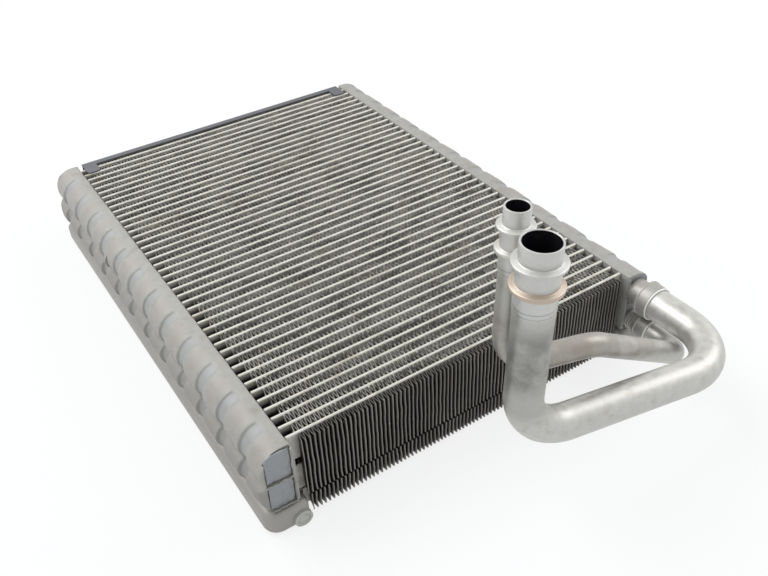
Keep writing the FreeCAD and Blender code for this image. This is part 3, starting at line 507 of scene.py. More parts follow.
def select_edges(mesh, test):
    """In edit mode, select the edges whose middle passes the test."""
    bpy.ops.mesh.select_mode(type="EDGE")
    bpy.ops.mesh.select_all(action="DESELECT")
    data = bmesh.from_edit_mesh(mesh)
    for edge in data.edges:
        middle = (edge.verts[0].co + edge.verts[1].co) / 2
        edge.select = test(middle, edge)
    data.select_flush(False)
    bmesh.update_edit_mesh(mesh)


def fin_strip(left, right, near, far, low, high, levels):
    """One corrugated fin between two tubes, folded from a single wave and divided into levels
    so that it can be bent."""
    size = sizes()
    start()
    crest = size.fin_crest
    waves = round((right - left) / size.fin_wave)
    wave = (right - left) / waves
    leg = wave / 2 - crest
    bpy.ops.mesh.primitive_plane_add(size=1, rotation=(math.pi / 2, 0, 0))
    strip = bpy.context.object
    strip.scale = (crest, high - low, 1)
    strip.location = (left + crest / 2, near, (low + high) / 2)
    bpy.ops.object.transform_apply()
    bpy.ops.object.mode_set(mode="EDIT")
    edge_x = left + crest
    for step_x, step_y in ((leg, far - near), (crest, 0), (leg, near - far)):
        select_edges(strip.data, lambda at, edge, x=edge_x: abs(at.x - x) < 1e-6)
        push((step_x, step_y, 0))
        edge_x += step_x
    select_edges(strip.data, lambda at, edge: abs(
        edge.verts[0].co.z - edge.verts[1].co.z) > 1e-6)
    bpy.ops.mesh.subdivide(number_cuts=levels - 1)
    bpy.ops.object.mode_set(mode="OBJECT")
    row = repeat(strip, (wave, 0, 0), waves)
    row.use_merge_vertices = True
    row.merge_threshold = 0.00001
    sheet = strip.modifiers.new("sheet", "SOLIDIFY")
    sheet.thickness = size.fin_sheet
    sheet.offset = 0
    apply_modifiers(strip)
    return strip


def fin_layers(label, first, layers, low, high, material, replaced):
    """Copies of one fin, one for each gap between tubes, joined as one piece."""
    size = sizes()
    tube_half = size.tube_thickness / 2
    inset = size.fin_sheet / 2
    base = LAST_TUBE + tube_half
    near = base + first * size.tube_pitch + tube_half + inset
    far = base + (first + 1) * size.tube_pitch - tube_half - inset
    # The fin before the first tube lies open, so it is divided more finely and wanders more
    open_fin = first < 0
    levels = 9 if open_fin else 3
    strip = fin_strip(low[0] + FIN_END_GAP, high[0] - FIN_END_GAP, near, far, low[2], high[2],
                      levels)
    copies = [strip]
    for layer in range(1, layers):
        hold(strip)
        bpy.ops.object.duplicate(linked=False)
        copy = bpy.context.object
        # Loose fins start at any part of a wave
        shift = (layer * 7 % 5 - 2) * 0.04 * size.fin_wave
        copy.location = (shift, layer * size.tube_pitch, 0)
        copies.append(copy)
    join(copies)
    bpy.ops.object.transform_apply()
    sway = size.fin_sway if open_fin else size.fin_sway * 0.7
    uneven(strip, label + "_sway", 9.0, sway, 0.5, direction="X", detail=1)
    settle(strip, label, material, replaced)


def aired(material, least, depth):
    """Marks that the air stream leaves on fins: darker stretches along them, and pale specks of
    lint and dust, drawn coarser than they are so that they show."""
    tree, shader, surface, place = shader_parts(material)
    drawn_out = add_node(tree, "ShaderNodeMapping", inputs={
        "Vector": place, "Scale": (1 / (26 * MM), 1 / (6 * MM), 1 / (60 * MM))})
    stretch = add_node(tree, "ShaderNodeTexNoise", inputs={
        "Vector": drawn_out.outputs["Vector"], "Scale": 1.0, "Detail": 3.0, "Roughness": 0.6})
    dull = add_node(tree, "ShaderNodeMapRange", {"interpolation_type": "SMOOTHSTEP"}, {
        "Value": stretch.outputs["Fac"], "From Min": 0.42, "From Max": 0.62, "To Min": 0.0,
        "To Max": depth})
    lint = add_node(tree, "ShaderNodeTexNoise", inputs={
        "Vector": place, "Scale": 1 / (1.6 * MM), "Detail": 1.0})
    specks = add_node(tree, "ShaderNodeMapRange", {"clamp": True}, {
        "Value": lint.outputs["Fac"], "From Min": least, "From Max": least + 0.03,
        "To Min": 0.0, "To Max": 0.7})
    tree.links.new(layered(tree, surface, [
        (dull.outputs["Result"], colours().painted_shade_and_dust),
        (specks.outputs["Result"], colours().speck)]), shader.inputs["Base Color"])


class EVAPORATOR_OT_fins(bpy.types.Operator):
    """Fold the corrugated fins of all rows"""

    bl_idname = "evaporator.fins"
    bl_label = "Corrugated fins"

    def execute(self, context):
        shade = colours()
        # Rolled fin sheet, brazed: bare edges, with painted shade that turns them almost black a
        # little way in
        sheet = brazed_aluminium(
            "fin_sheet_aluminium", shade.fin, grain_mm=0.5, mottle_mm=2.5, roughness=0.5,
            metallic=0.4, bump_mm=0.03, contrast=0.5, stain_amount=0.6, stain_mm=24.0,
            painted_shade_and_dust=(NEAR_CREST, 0.3, 1.75))
        aired(sheet, 0.6, 0.6)
        # The same sheet where it lay open to the air stream: duller, with painted shade between
        # its folds
        near_sheet = brazed_aluminium(
            "dusty_fin_sheet_aluminium", shade.near_fin, grain_mm=0.5, mottle_mm=4.0,
            roughness=0.55, metallic=0.4, bump_mm=0.03, contrast=0.3, stain_amount=0.35,
            stain_mm=12.0, painted_shade_and_dust=(NEAR_CREST, 0.1, 1.3))
        aired(near_sheet, 0.78, 0.25)
        first = 0
        main_row = (MAIN_FIN_LOW, MAIN_FIN_HIGH)
        storage_row = (STORAGE_FIN_LOW, STORAGE_FIN_HIGH)
        for label, layers in (("near", 15), ("middle", 14), ("far", 14)):
            fin_layers("dressed_main_fins_" + label, first, layers, *main_row, sheet,
                       ["main_fins_" + label])
            fin_layers("dressed_storage_fins_" + label, first, layers, *storage_row, sheet,
                       ["storage_fins_" + label])
            first += layers
        fin_layers("dressed_near_fin", -1, 1, *main_row, near_sheet, ["near_fin"])
        fin_layers("dressed_near_storage_fin", -1, 1, *storage_row, near_sheet,
                   ["near_storage_fin"])
        return {"FINISHED"}


def ring_radii(body, neck, ring, spigot, bore):
    """Steps up an upright to its mouth and back down its bore, each the distance below the
    mouth and the radius there, in metres."""
    steps = [(40.0 * MM, body), (31.9 * MM, body), (31.5 * MM, neck - 0.1 * MM),
             (29.2 * MM, neck - 0.1 * MM), (28.9 * MM, neck)]
    for middle, half, below, above in ((20.8, 1.4, neck, neck), (9.5, 1.05, neck, spigot)):
        rise = ring - below
        steps += [((middle + half + 0.3) * MM, below), ((middle + half) * MM, below + 0.2 * rise),
                  ((middle + 0.92 * half) * MM, below + 0.7 * rise),
                  ((middle + 0.6 * half) * MM, below + 0.93 * rise),
                  (middle * MM, ring),
                  ((middle - 0.6 * half) * MM, below + 0.93 * rise),
                  ((middle - 0.92 * half) * MM, below + 0.7 * rise),
                  ((middle - half) * MM, above + 0.15 * rise),
                  ((middle - half - 0.25) * MM, above)]
    steps += [(0.35 * MM, spigot), (0.08 * MM, spigot - 0.12 * MM), (0.0, spigot - 0.3 * MM),
              (0.0, bore + 0.25 * MM), (0.3 * MM, bore), (30.0 * MM, bore),
              (BORE_DEPTH, bore)]
    return steps


def drawn_pipe(route, bends, radius, steps):
    """Pipe grown from one ring: pushed along its straight runs, spun round its bends and
    widened step by step into its rings."""
    points = [Vector(point) * MM for point in route]
    along = (points[1] - points[0]).normalized()
    piece = disc(points[0], along, radius, 44)
    bpy.ops.object.mode_set(mode="EDIT")
    bpy.ops.mesh.select_mode(type="VERT")
    bpy.ops.mesh.select_all(action="SELECT")
    bpy.ops.mesh.duplicate()
    bpy.ops.mesh.delete(type="ONLY_FACE")
    select_ring(piece.data)
    here = points[0]
    for corner, after, bend in zip(points[1:], points[2:], bends):
        onward = (after - corner).normalized()
        turn = along.angle(onward)
        bend_start = corner - along * (bend * MM * math.tan(turn / 2))
        axis = along.cross(onward).normalized()
        push(bend_start - here)
        bpy.ops.mesh.spin(
            steps=max(6, round(turn / math.radians(5))), angle=-turn,
            center=tuple(bend_start + axis.cross(along) * (bend * MM)), axis=tuple(axis))
        here = corner + onward * (bend * MM * math.tan(turn / 2))
        along = onward
    mouth = points[-1]
    width = radius
    for below, target in steps:
        spot = mouth - along * below
        push(spot - here)
        factor = target / width
        bpy.ops.transform.resize(value=(factor, factor, factor), center_override=tuple(spot))
        here = spot
        width = target
    bpy.ops.mesh.edge_face_add()
    bpy.ops.mesh.select_all(action="SELECT")
    bpy.ops.mesh.remove_doubles(threshold=0.00001)
    close()
    return piece


def select_ring(mesh):
    """In edit mode, select the loose ring that the pipe grows from."""
    data = bmesh.from_edit_mesh(mesh)
    data.verts.ensure_lookup_table()
    for vertex in data.verts:
        vertex.select = not vertex.link_faces
    data.select_flush(True)
    bmesh.update_edit_mesh(mesh)


def drawn_pipe_aluminium(name, ring_stain, patch_level, patch_half, patch_colour):
    """Drawn tube, etched dull by handling, with a brushed bright end and stained zones; the
    rolled rings stay cleaner than the length below them."""
    shade = colours()
    material = brazed_aluminium(
        name, shade.pipe, grain_mm=0.35, mottle_mm=4.0, roughness=0.4, metallic=0.6,
        bump_mm=0.06, contrast=0.24, stain_amount=0.35, stain_mm=9.0)
    tree, shader, surface, place = shader_parts(material)
    height = add_node(tree, "ShaderNodeSeparateXYZ", inputs={"Vector": place}).outputs["Z"]
    blotch = add_node(tree, "ShaderNodeTexNoise", inputs={
        "Vector": place, "Scale": 1 / (14 * MM), "Detail": 6.0, "Roughness": 0.65})
    patchy = add_node(tree, "ShaderNodeMapRange", inputs={
        "Value": blotch.outputs["Fac"], "From Min": 0.38, "From Max": 0.6,
        "To Min": 0.25, "To Max": 1.0})
    bright = add_node(tree, "ShaderNodeMapRange", {"interpolation_type": "SMOOTHSTEP"}, {
        "Value": height, "From Min": BRIGHT_START * MM, "From Max": BRIGHT_END * MM,
        "To Min": 0.0, "To Max": 0.5})
    layers = [
        (band(tree, height, ETCHED_MIDDLE * MM, ETCHED_HALF * MM, 12 * MM, 0.55), shade.etched),
        (band(tree, height, patch_level * MM, patch_half * MM, 12 * MM, 0.75,
              patchy.outputs["Result"]), patch_colour),
        (bright.outputs["Result"], shade.bright),
        (band(tree, height, RING_LEVEL * MM, 1.7 * MM, 0.8 * MM, ring_stain), shade.ring)]
    for level in TURNED_LINES:
        layers.append((band(tree, height, level * MM, 0.15 * MM, 0.35 * MM, 0.45),
                       shade.scorched))
    tree.links.new(layered(tree, surface, layers), shader.inputs["Base Color"])
    turned = add_node(tree, "ShaderNodeTexWave", {"bands_direction": "Z"}, {
        "Vector": place, "Scale": 260.0, "Distortion": 1.5, "Detail": 2.0})
    lines = add_node(tree, "ShaderNodeMath", {"operation": "MULTIPLY"}, {
        0: turned.outputs["Fac"], 1: bright.outputs["Result"]})
    brushed = add_node(tree, "ShaderNodeBump", inputs={
        "Height": lines.outputs[0], "Distance": 0.05 * MM, "Strength": 0.6,
        "Normal": shader.inputs["Normal"].links[0].from_socket})
    tree.links.new(brushed.outputs["Normal"], shader.inputs["Normal"])
    return material


def darken_bore(piece, mouth, foot, radius, material):
    """Give the faces inside a bore their own nearly black finish, which paints their shade."""
    piece.data.materials.append(material)
    axis = (mouth - foot).normalized()
    for face in piece.data.polygons:
        from_mouth = mouth - face.center
        below = from_mouth.dot(axis)
        off_axis = (from_mouth - axis * below).length
        if 0.4 * MM < below < BORE_DEPTH + MM and off_axis < radius + 0.12 * MM:
            face.material_index = 1


class EVAPORATOR_OT_pipes(bpy.types.Operator):
    """Draw the suction and the liquid pipe with their rolled rings"""

    bl_idname = "evaporator.pipes"
    bl_label = "Pipes"

    def execute(self, context):
        size = pipe_sizes()
        shade = colours()
        suction = drawn_pipe_aluminium("drawn_suction_pipe_aluminium", 0.7, 104, 9,
                                       shade.scorched)
        liquid = drawn_pipe_aluminium("drawn_liquid_pipe_aluminium", 0.1, 80, 22, shade.dusty)
        # Painted shade: aluminium made almost black inside the mouths
        painted_bore_shade = brazed_aluminium(
            "painted_bore_shade_aluminium", shade.bore, grain_mm=0.4, mottle_mm=2.0, roughness=0.35,
            metallic=0.3, bump_mm=0.05, contrast=0.3, stain_amount=0.1, stain_mm=4.0)
        for name, route, bends, radius, neck, ring, bore, finish in (
                ("suction_pipe", SUCTION_ROUTE, SUCTION_BENDS, size.suction, size.suction_neck,
                 size.suction_ring, size.suction_bore, suction),
                ("liquid_pipe", LIQUID_ROUTE, LIQUID_BENDS, size.liquid, size.liquid_neck,
                 size.liquid_ring, size.liquid_bore, liquid)):
            steps = ring_radii(radius, neck, ring, radius - 0.1 * MM, bore)
            piece = drawn_pipe(route, bends, radius, steps)
            uneven(piece, name + "_dents", 9.0, size.dent, 0.6)
            smooth(piece, 38)
            settle(piece, "dressed_" + name, finish, [name])
            darken_bore(piece, Vector(route[-1]) * MM, Vector(route[-2]) * MM, bore, painted_bore_shade)
        return {"FINISHED"}


def lobed_bar(side, face, half_height, upper_reach, waist_reach, lower_reach):
    """Closed bar with a tank's two-lobed section, drawn by straight pushes and spins and then
    drawn out along the tank. The upper lobe is one round shoulder; the lower one stands out
    further."""
    size = tank_sizes()
    near = TANK_LOW[1]
    # Radii and turns worked out so that each arc runs into the next
    shoulder = upper_reach - size.band
    upper_level = half_height - shoulder
    tuck = upper_reach - waist_reach
    under = (upper_level ** 2 + tuck ** 2) / (2 * tuck)
    level = size.lower_level
    swell = lower_reach - waist_reach
    lobe = (level ** 2 + swell ** 2) / (2 * swell)
    over = lower_reach - lobe - size.band
    above = half_height - level
    foot = (over ** 2 + above ** 2 - lobe ** 2) / (2 * (above - lobe))
    lean = math.asin(over / (foot - lobe))
    arcs = (
        (size.band, half_height - shoulder, math.pi / 2, 16),
        (upper_reach - under, upper_level, math.asin(upper_level / under), 8),
        (lower_reach - lobe, -level, math.asin(level / lobe) + math.pi / 2 - lean, 18),
        (size.band, foot - half_height, lean, 10))
    start()
    bpy.ops.mesh.primitive_plane_add(
        size=0.001, location=(face, near, TANK_MIDDLE + half_height))
    piece = bpy.context.object
    bpy.ops.object.transform_apply()
    bpy.ops.object.mode_set(mode="EDIT")
    bpy.ops.mesh.select_mode(type="VERT")
    bpy.ops.mesh.select_all(action="SELECT")
    bpy.ops.mesh.merge(type="CENTER")
    push((side * size.band, 0, 0))
    for out, height, angle, count in arcs:
        bpy.ops.mesh.spin(
            steps=count, angle=-side * angle, axis=(0, 1, 0),
            center=(face + side * out, near, TANK_MIDDLE + height))
    push((-side * size.band, 0, 0))
    bpy.ops.mesh.select_all(action="SELECT")
    bpy.ops.mesh.remove_doubles(threshold=0.00001)
    bpy.ops.mesh.select_all(action="SELECT")
    bpy.ops.mesh.edge_face_add()
    push((0, TANK_HIGH[1] - near, 0))
    close()
    narrow_ends(piece, side, face, lower_reach)
    return piece


def narrow_ends(piece, side, face, reach):
    """Cut both ends of a bar back in two slanted steps, so that the chamber closes roundly."""
    size = tank_sizes()
    middle = (size.end_width + reach) / 2 + 0.15 * (reach - size.end_width)
    steps = ((size.end_width, 0.0, middle, 0.32 * size.end_length),
             (middle, 0.32 * size.end_length, reach, size.end_length))
    hold(piece)
    bpy.ops.object.mode_set(mode="EDIT")
    for end, way in ((TANK_LOW[1], 1), (TANK_HIGH[1], -1)):
        for out_a, in_a, out_b, in_b in steps:
            bpy.ops.mesh.select_all(action="SELECT")
            edge = Vector((side * (out_b - out_a), way * (in_b - in_a), 0))
            normal = Vector((edge.y, -edge.x, 0)) * (side * way)
            bpy.ops.mesh.bisect(
                plane_co=(face + side * out_a, end + way * in_a, 0),
                plane_no=tuple(normal.normalized()), use_fill=True,
                clear_outer=True, clear_inner=False)
    bpy.ops.object.mode_set(mode="OBJECT")


def groove_cutters(side, face, reach):
    """Row of arch-tipped cutters for the grooves across a tank."""
    size = tank_sizes()
    half = size.groove_width / 2
    start()
    middle_x = face + side * (size.groove_tip + half)
    bpy.ops.mesh.primitive_cylinder_add(
        vertices=32, radius=half, depth=CUTTER_HEIGHT,
        location=(middle_x, LAST_TUBE + sizes().tube_thickness / 2 + size.groove_first,
                  TANK_MIDDLE))
    cutter = bpy.context.object
    bpy.ops.object.transform_apply()
    bpy.ops.object.mode_set(mode="EDIT")
    bpy.ops.mesh.select_mode(type="VERT")
    bpy.ops.mesh.select_all(action="DESELECT")
    data = bmesh.from_edit_mesh(cutter.data)
    for vertex in data.verts:
        vertex.select = side * (vertex.co.x - middle_x) > 1e-6
    data.select_flush(False)
    bmesh.update_edit_mesh(cutter.data)
    bpy.ops.transform.translate(value=(side * reach, 0, 0))
    bpy.ops.object.mode_set(mode="OBJECT")
    repeat(cutter, (0, size.groove_pitch, 0), size.groove_count)
    apply_modifiers(cutter)
    return cutter


def pressed_tank(side, face):
    """Tank cover with soft pressed grooves: a lobed bar with the grooves cut through it stands
    round a slightly smaller one, and a fine remesh joins and rounds the two."""
    size = tank_sizes()
    reach = size.lower_reach
    half_height = (TANK_HIGH[2] - TANK_LOW[2]) / 2
    domes = lobed_bar(side, face, half_height, size.upper_reach, size.waist_reach, reach)
    cut(domes, groove_cutters(side, face, reach))
    floor = lobed_bar(side, face, half_height - size.groove_top,
                      size.upper_reach - size.groove_depth,
                      size.waist_reach - size.groove_waist, reach - size.groove_lower)
    join([domes, floor])
    remesh(domes, size.voxel)
    soften = domes.modifiers.new("soften", "SMOOTH")
    soften.factor = 0.5
    soften.iterations = 8
    apply_modifiers(domes)
    # A little past the tube plate, so that their faces don't lie in one plane
    plate_half = (PLATE_HIGH[2] - PLATE_LOW[2]) / 2
    plate_face = face + side * (PLATE_HIGH[0] - PLATE_LOW[0]) * 1.03
    cut(domes, block((face - side * MM, TANK_LOW[1] - MM, TANK_MIDDLE - plate_half),
                     (plate_face, TANK_HIGH[1] + MM, TANK_MIDDLE + plate_half)))
    return domes


def pressed_clad_aluminium():
    """Pressed sheet with a dull clad: cleaner blue-grey in the grooves, warmer and browner on
    the domes between them."""
    shade = colours()
    size = tank_sizes()
    material = brazed_aluminium(
        "pressed_clad_aluminium", shade.tank, grain_mm=0.5, mottle_mm=5.0, roughness=0.62,
        metallic=0.3, bump_mm=0.08, contrast=0.23, stain_amount=0.35, stain_mm=13.0)
    tree, shader, surface, place = shader_parts(material)
    split = add_node(tree, "ShaderNodeSeparateXYZ", inputs={"Vector": place})
    first = LAST_TUBE + sizes().tube_thickness / 2 + size.groove_first
    along = add_node(tree, "ShaderNodeMath", {"operation": "SUBTRACT"}, {
        0: split.outputs["Y"], 1: first - size.groove_pitch / 2})
    folded = add_node(tree, "ShaderNodeMath", {"operation": "FLOORED_MODULO"}, {
        0: along.outputs[0], 1: size.groove_pitch}).outputs[0]
    reach = add_node(tree, "ShaderNodeMath", {"operation": "ABSOLUTE"}, {
        0: split.outputs["X"]})
    beyond_tip = add_node(tree, "ShaderNodeMapRange", {"interpolation_type": "SMOOTHSTEP"}, {
        "Value": reach.outputs[0], "From Min": CORE_RIGHT + size.groove_tip,
        "From Max": CORE_RIGHT + size.groove_tip + 2 * MM,
        "To Min": 0.0, "To Max": 1.0}).outputs["Result"]
    # Colour, middle of its band from groove to groove, half width, fading and strength
    middle = size.groove_pitch / 2
    width = size.groove_width
    dome_edge = size.groove_pitch * 0.05
    dome_soft = size.groove_pitch * 0.45 - width * 0.6
    bands = (
        (shade.dome, 0.0, dome_edge, dome_soft, 0.6),
        (shade.dome, size.groove_pitch, dome_edge, dome_soft, 0.6),
        (shade.groove, middle, width * 0.44, width * 0.12, 0.75))
    layers = [(band(tree, folded, at, half, soft, strength, beyond_tip), code)
              for code, at, half, soft, strength in bands]
    # Painted shade: the tank darkens below its middle
    under = add_node(tree, "ShaderNodeMapRange", {"interpolation_type": "SMOOTHSTEP"}, {
        "Value": split.outputs["Z"], "From Min": TANK_MIDDLE - 5 * MM,
        "From Max": TANK_MIDDLE + 3 * MM, "To Min": 0.55, "To Max": 0.0})
    layers.append((under.outputs["Result"], shade.lower))
    # Painted shadow along the far edge of each groove
    layers.append((band(tree, folded, middle + width * 0.47, 0.2 * MM, 0.9 * MM, 0.5, beyond_tip),
                   shade.seam))
    tree.links.new(layered(tree, surface, layers), shader.inputs["Base Color"])
    return material


def seat_caps(piece, side, face):
    """Cut the seats of the end caps into both ends of a tank, and on the left room above the
    near upper cap."""
    width, _, height = Vector(CAP_HIGH) - Vector(CAP_LOW)
    if side < 0:
        cut(piece, block((CAP_LOW[0], TANK_LOW[1] - MM, CAP_LOW[2]),
                         (CAP_HIGH[0] + 0.4 * MM, CAP_HIGH[1], TANK_HIGH[2] + MM)))
    inner = face + side * (CORE_LEFT - CAP_HIGH[0])
    deep = CAP_HIGH[1] + 0.1 * MM
    for near, far in ((TANK_LOW[1] - MM, deep),
                      (TANK_HIGH[1] - (deep - TANK_LOW[1]), TANK_HIGH[1] + MM)):
        for way in (-1, 1):
            edge = TANK_MIDDLE + way * (CAP_LOW[2] - TANK_MIDDLE)
            cut(piece, block((inner, near, edge),
                             (inner + side * width, far, edge + way * height)))


def seam(points, radius):
    """Raised wavy seam that follows the points, closed at both ends."""
    piece = disc(points[0], (points[1] - points[0]).normalized(), radius, 10)
    bpy.ops.object.mode_set(mode="EDIT")
    bpy.ops.mesh.select_all(action="SELECT")
    for before, after in zip(points, points[1:]):
        push(after - before)
    close()
    return piece


def crimped_edges(side, face):
    """Seams where the caps are crimped into the near end of a tank: one between the two caps,
    one beside them and one under them."""
    y = TANK_LOW[1] + 0.1 * MM
    inner = face + side * SEAM_START * MM
    outer = face + side * SEAM_END * MM
    low = TANK_MIDDLE - SEAM_DOWN * MM
    high = TANK_MIDDLE + SEAM_UP[side] * MM
    wobble = SEAM_WOBBLE
    pieces = []
    for begin, end, sideways in (
            ((inner, y, TANK_MIDDLE), (outer, y, TANK_MIDDLE), Vector((0, 0, 1))),
            ((inner, y, high), (inner, y, low), Vector((1, 0, 0))),
            ((inner, y, low), (outer, y, low), Vector((0, 0, 1)))):
        begin = Vector(begin)
        span = Vector(end) - begin
        points = [begin + span * (step / 10) + sideways * (amount * MM)
                  for step, amount in enumerate(wobble)]
        pieces.append(seam(points, end_sizes().seam))
        wobble = wobble[3:] + wobble[:3]
    return pieces


def dented_cap(name, low, high, corner, material):
    """Stamped cap, pressed in here and there by the crimping; a corner above 0 rounds its
    outer upper edge."""
    piece = block(low, high)
    if corner:
        bpy.ops.object.mode_set(mode="EDIT")
        select_edges(piece.data, lambda at, edge: at.x < low[0] + MM and at.z > high[2] - MM
                     and abs(edge.verts[0].co.y - edge.verts[1].co.y) > MM)
        bpy.ops.mesh.bevel(offset=corner, segments=8, affect="EDGES")
        bpy.ops.object.mode_set(mode="OBJECT")
    remesh(piece, end_sizes().cap_voxel)
    uneven(piece, name + "_dents", 5.0, end_sizes().cap_dent, 0.9)
    smooth(piece, 50)
    settle(piece, "dressed_" + name, material, [name])


class EVAPORATOR_OT_tanks(bpy.types.Operator):
    """Press the two side tanks, with the crimped near end of the left one"""

    bl_idname = "evaporator.tanks"
    bl_label = "Side tanks"

    def execute(self, context):
        clad = pressed_clad_aluminium()
        for name, side, face in (("left", -1, CORE_LEFT), ("right", 1, CORE_RIGHT)):
            piece = pressed_tank(side, face)
            seat_caps(piece, side, face)
            uneven(piece, name + "_tank_dents", 11.0, tank_sizes().dent, 1.0)
            join([piece] + crimped_edges(side, face))
            smooth(piece, 50)
            settle(piece, "dressed_" + name + "_tank", clad,
                   [name + "_tank_cover"])
        stamped = bpy.data.materials["stamped_cap_aluminium"]
        upper_high = Vector((CAP_HIGH[0], CAP_HIGH[1], TANK_HIGH[2] - 0.5 * MM))
        dented_cap("left_near_upper_cap", CAP_LOW, upper_high, end_sizes().cap_corner, stamped)
        dented_cap("left_near_lower_cap", *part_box("left_near_lower_cap"), 0.0, stamped)
        return {"FINISHED"}


def storage_tank(side, face, material):
    """Extruded storage tank with a rounded near end."""
    name = "left" if side < 0 else "right"
    size = end_sizes()
    low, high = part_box(name + "_storage_tank")
    outer = face + side * size.reach
    # Its far end stays just inside its cap, so that the two faces don't lie in one plane
    piece = block((face - side * size.overlap, low[1], low[2]),
                  (outer, high[1] - 0.25 * MM, high[2]))
    bpy.ops.object.mode_set(mode="EDIT")
    select_edges(piece.data, lambda at, edge: at.y < low[1] + MM
                 and abs(at.x - outer) < 1e-5
                 and abs(edge.verts[0].co.z - edge.verts[1].co.z) > MM)
    bpy.ops.mesh.bevel(offset=size.corner, segments=8, affect="EDGES")
    bpy.ops.object.mode_set(mode="OBJECT")
    rounding = piece.modifiers.new("rounding", "BEVEL")
    rounding.width = size.edge
    rounding.segments = 6
    rounding.limit_method = "ANGLE"
    rounding.angle_limit = math.radians(50)
    apply_modifiers(piece)
    smooth(piece, 30)
    settle(piece, "dressed_" + name + "_storage_tank", material,
           [name + "_storage_tank"])


def filling_plug(material):
    """Pressed-in filling plug with a ring round its middle."""
    low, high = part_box("storage_plug")
    radius = end_sizes().plug
    centre = ((low[0] + high[0]) / 2, (low[1] + high[1]) / 2, low[2] + radius - 1.6 * MM)
    start()
    bpy.ops.mesh.primitive_cylinder_add(
        vertices=40, radius=radius, depth=high[1] - low[1], location=centre,
        rotation=(math.pi / 2, 0, 0))
    piece = bpy.context.object
    bpy.ops.object.transform_apply()
    bpy.ops.object.mode_set(mode="EDIT")
    bpy.ops.mesh.select_mode(type="FACE")
    data = bmesh.from_edit_mesh(piece.data)
    for side_face in data.faces:
        side_face.select = side_face.normal.y < -0.9
    bmesh.update_edit_mesh(piece.data)
    # Rings from the rim inwards: width, and how far each is pushed into the plug
    for width, sunk in ((0.35, 0.0), (0.9, 0.0), (0.3, 0.5), (0.9, 0.0), (0.3, -0.4)):
        bpy.ops.mesh.inset(thickness=width * MM)
        bpy.ops.transform.translate(value=(0, sunk * MM, 0))
    bpy.ops.object.mode_set(mode="OBJECT")
    smooth(piece, 30)
    settle(piece, "dressed_storage_plug", material, ["storage_plug"])


class EVAPORATOR_OT_storage(bpy.types.Operator):
    """Make the storage tanks and their filling plug"""

    bl_idname = "evaporator.storage"
    bl_label = "Storage tanks"

    def execute(self, context):
        shade = colours()
        # Extruded profile, brazed: even and a little darker than the pressed tanks
        extruded = brazed_aluminium(
            "extruded_tank_aluminium", shade.storage, grain_mm=0.5, mottle_mm=12.0,
            roughness=0.5, metallic=0.4, bump_mm=0.04, contrast=0.12, stain_amount=0.2,
            stain_mm=18.0)
        # Turned plug: cleaner and paler than the tank round it
        turned = brazed_aluminium(
            "turned_plug_aluminium", shade.plug, grain_mm=0.4, mottle_mm=3.0, roughness=0.5,
            metallic=0.3, bump_mm=0.04, contrast=0.1, stain_amount=0.2, stain_mm=6.0)
        storage_tank(-1, CORE_LEFT, extruded)
        storage_tank(1, CORE_RIGHT, extruded)
        filling_plug(turned)
        return {"FINISHED"}


def stamped_cap_aluminium():
    """Thin stamped sheet: smooth and bluish, with painted shadow in the corner beside the seam.
    """
    shade = colours()
    material = brazed_aluminium(
        "stamped_cap_aluminium", shade.cap, grain_mm=4.5, mottle_mm=5.0, roughness=0.5,
        metallic=0.4, bump_mm=1.6, contrast=0.15, stain_amount=0.25, stain_mm=6.0)
    tree, shader, surface, place = shader_parts(material)
    height = add_node(tree, "ShaderNodeSeparateXYZ", inputs={"Vector": place}).outputs["Z"]
    # Painted shadow: a dark band beside the seam at the tank's middle
    painted_seam_shadow = band(tree, height, TANK_MIDDLE, 0.5 * MM, 1.6 * MM, 0.65)
    tree.links.new(layered(tree, surface, [(painted_seam_shadow, shade.painted_shade_and_dust)]), shader.inputs["Base Color"])
    return material


class EVAPORATOR_OT_finishes(bpy.types.Operator):
    """Give the solids their finishes"""

    bl_idname = "evaporator.finishes"
    bl_label = "Finishes of the solids"

    def execute(self, context):
        shade = colours()
        # Extruded flat tube, brazed: pale bare edges, browned in patches, and painted shade that
        # turns it black deep inside
        tube = brazed_aluminium(
            "extruded_tube_aluminium", shade.tube, grain_mm=0.4, mottle_mm=5.0, roughness=0.5,
            metallic=0.45, bump_mm=0.04, contrast=0.22, stain_amount=0.6, stain_mm=26.0,
            painted_shade_and_dust=(LAST_TUBE, 1.5, 5.0))
        # Rolled sheet with a brazing clad: dull, with broad cloudy stains
        sheet = brazed_aluminium(
            "clad_sheet_aluminium", shade.tank, grain_mm=0.5, mottle_mm=9.0, roughness=0.6,
            metallic=0.3, bump_mm=0.04, contrast=0.16, stain_amount=0.3, stain_mm=22.0)
        # Rolled plate, darkened: bluish grey with a faint sheen
        plate = brazed_aluminium(
            "dark_side_plate_aluminium", shade.side_plate, grain_mm=0.5, mottle_mm=8.0,
            roughness=0.55, metallic=0.6, bump_mm=0.03, contrast=0.2, stain_amount=0.2,
            stain_mm=12.0)
        # Turned part: brighter metal, spotted where flux ran over it
        nipple = brazed_aluminium(
            "turned_nipple_aluminium", shade.nipple, grain_mm=0.4, mottle_mm=4.0,
            roughness=0.48, metallic=0.5, bump_mm=0.04, contrast=0.2, stain_amount=0.35,
            stain_mm=6.0)
        # Molten filler, set in a ring: whitish and finely rippled
        filler = brazed_aluminium(
            "brazing_filler_alloy", shade.filler, grain_mm=0.3, mottle_mm=2.0, roughness=0.5,
            metallic=0.5, bump_mm=0.08, contrast=0.1, stain_amount=0.1, stain_mm=5.0)
        for word, finish in (("tubes", tube), ("cover", sheet), ("tube_plate", sheet),
                             ("partition", sheet), ("baffle", sheet), ("side_plate", plate),
                             ("nipple", nipple), ("ring", filler),
                             ("_cap", stamped_cap_aluminium())):
            dress(matching(word), finish)
        return {"FINISHED"}


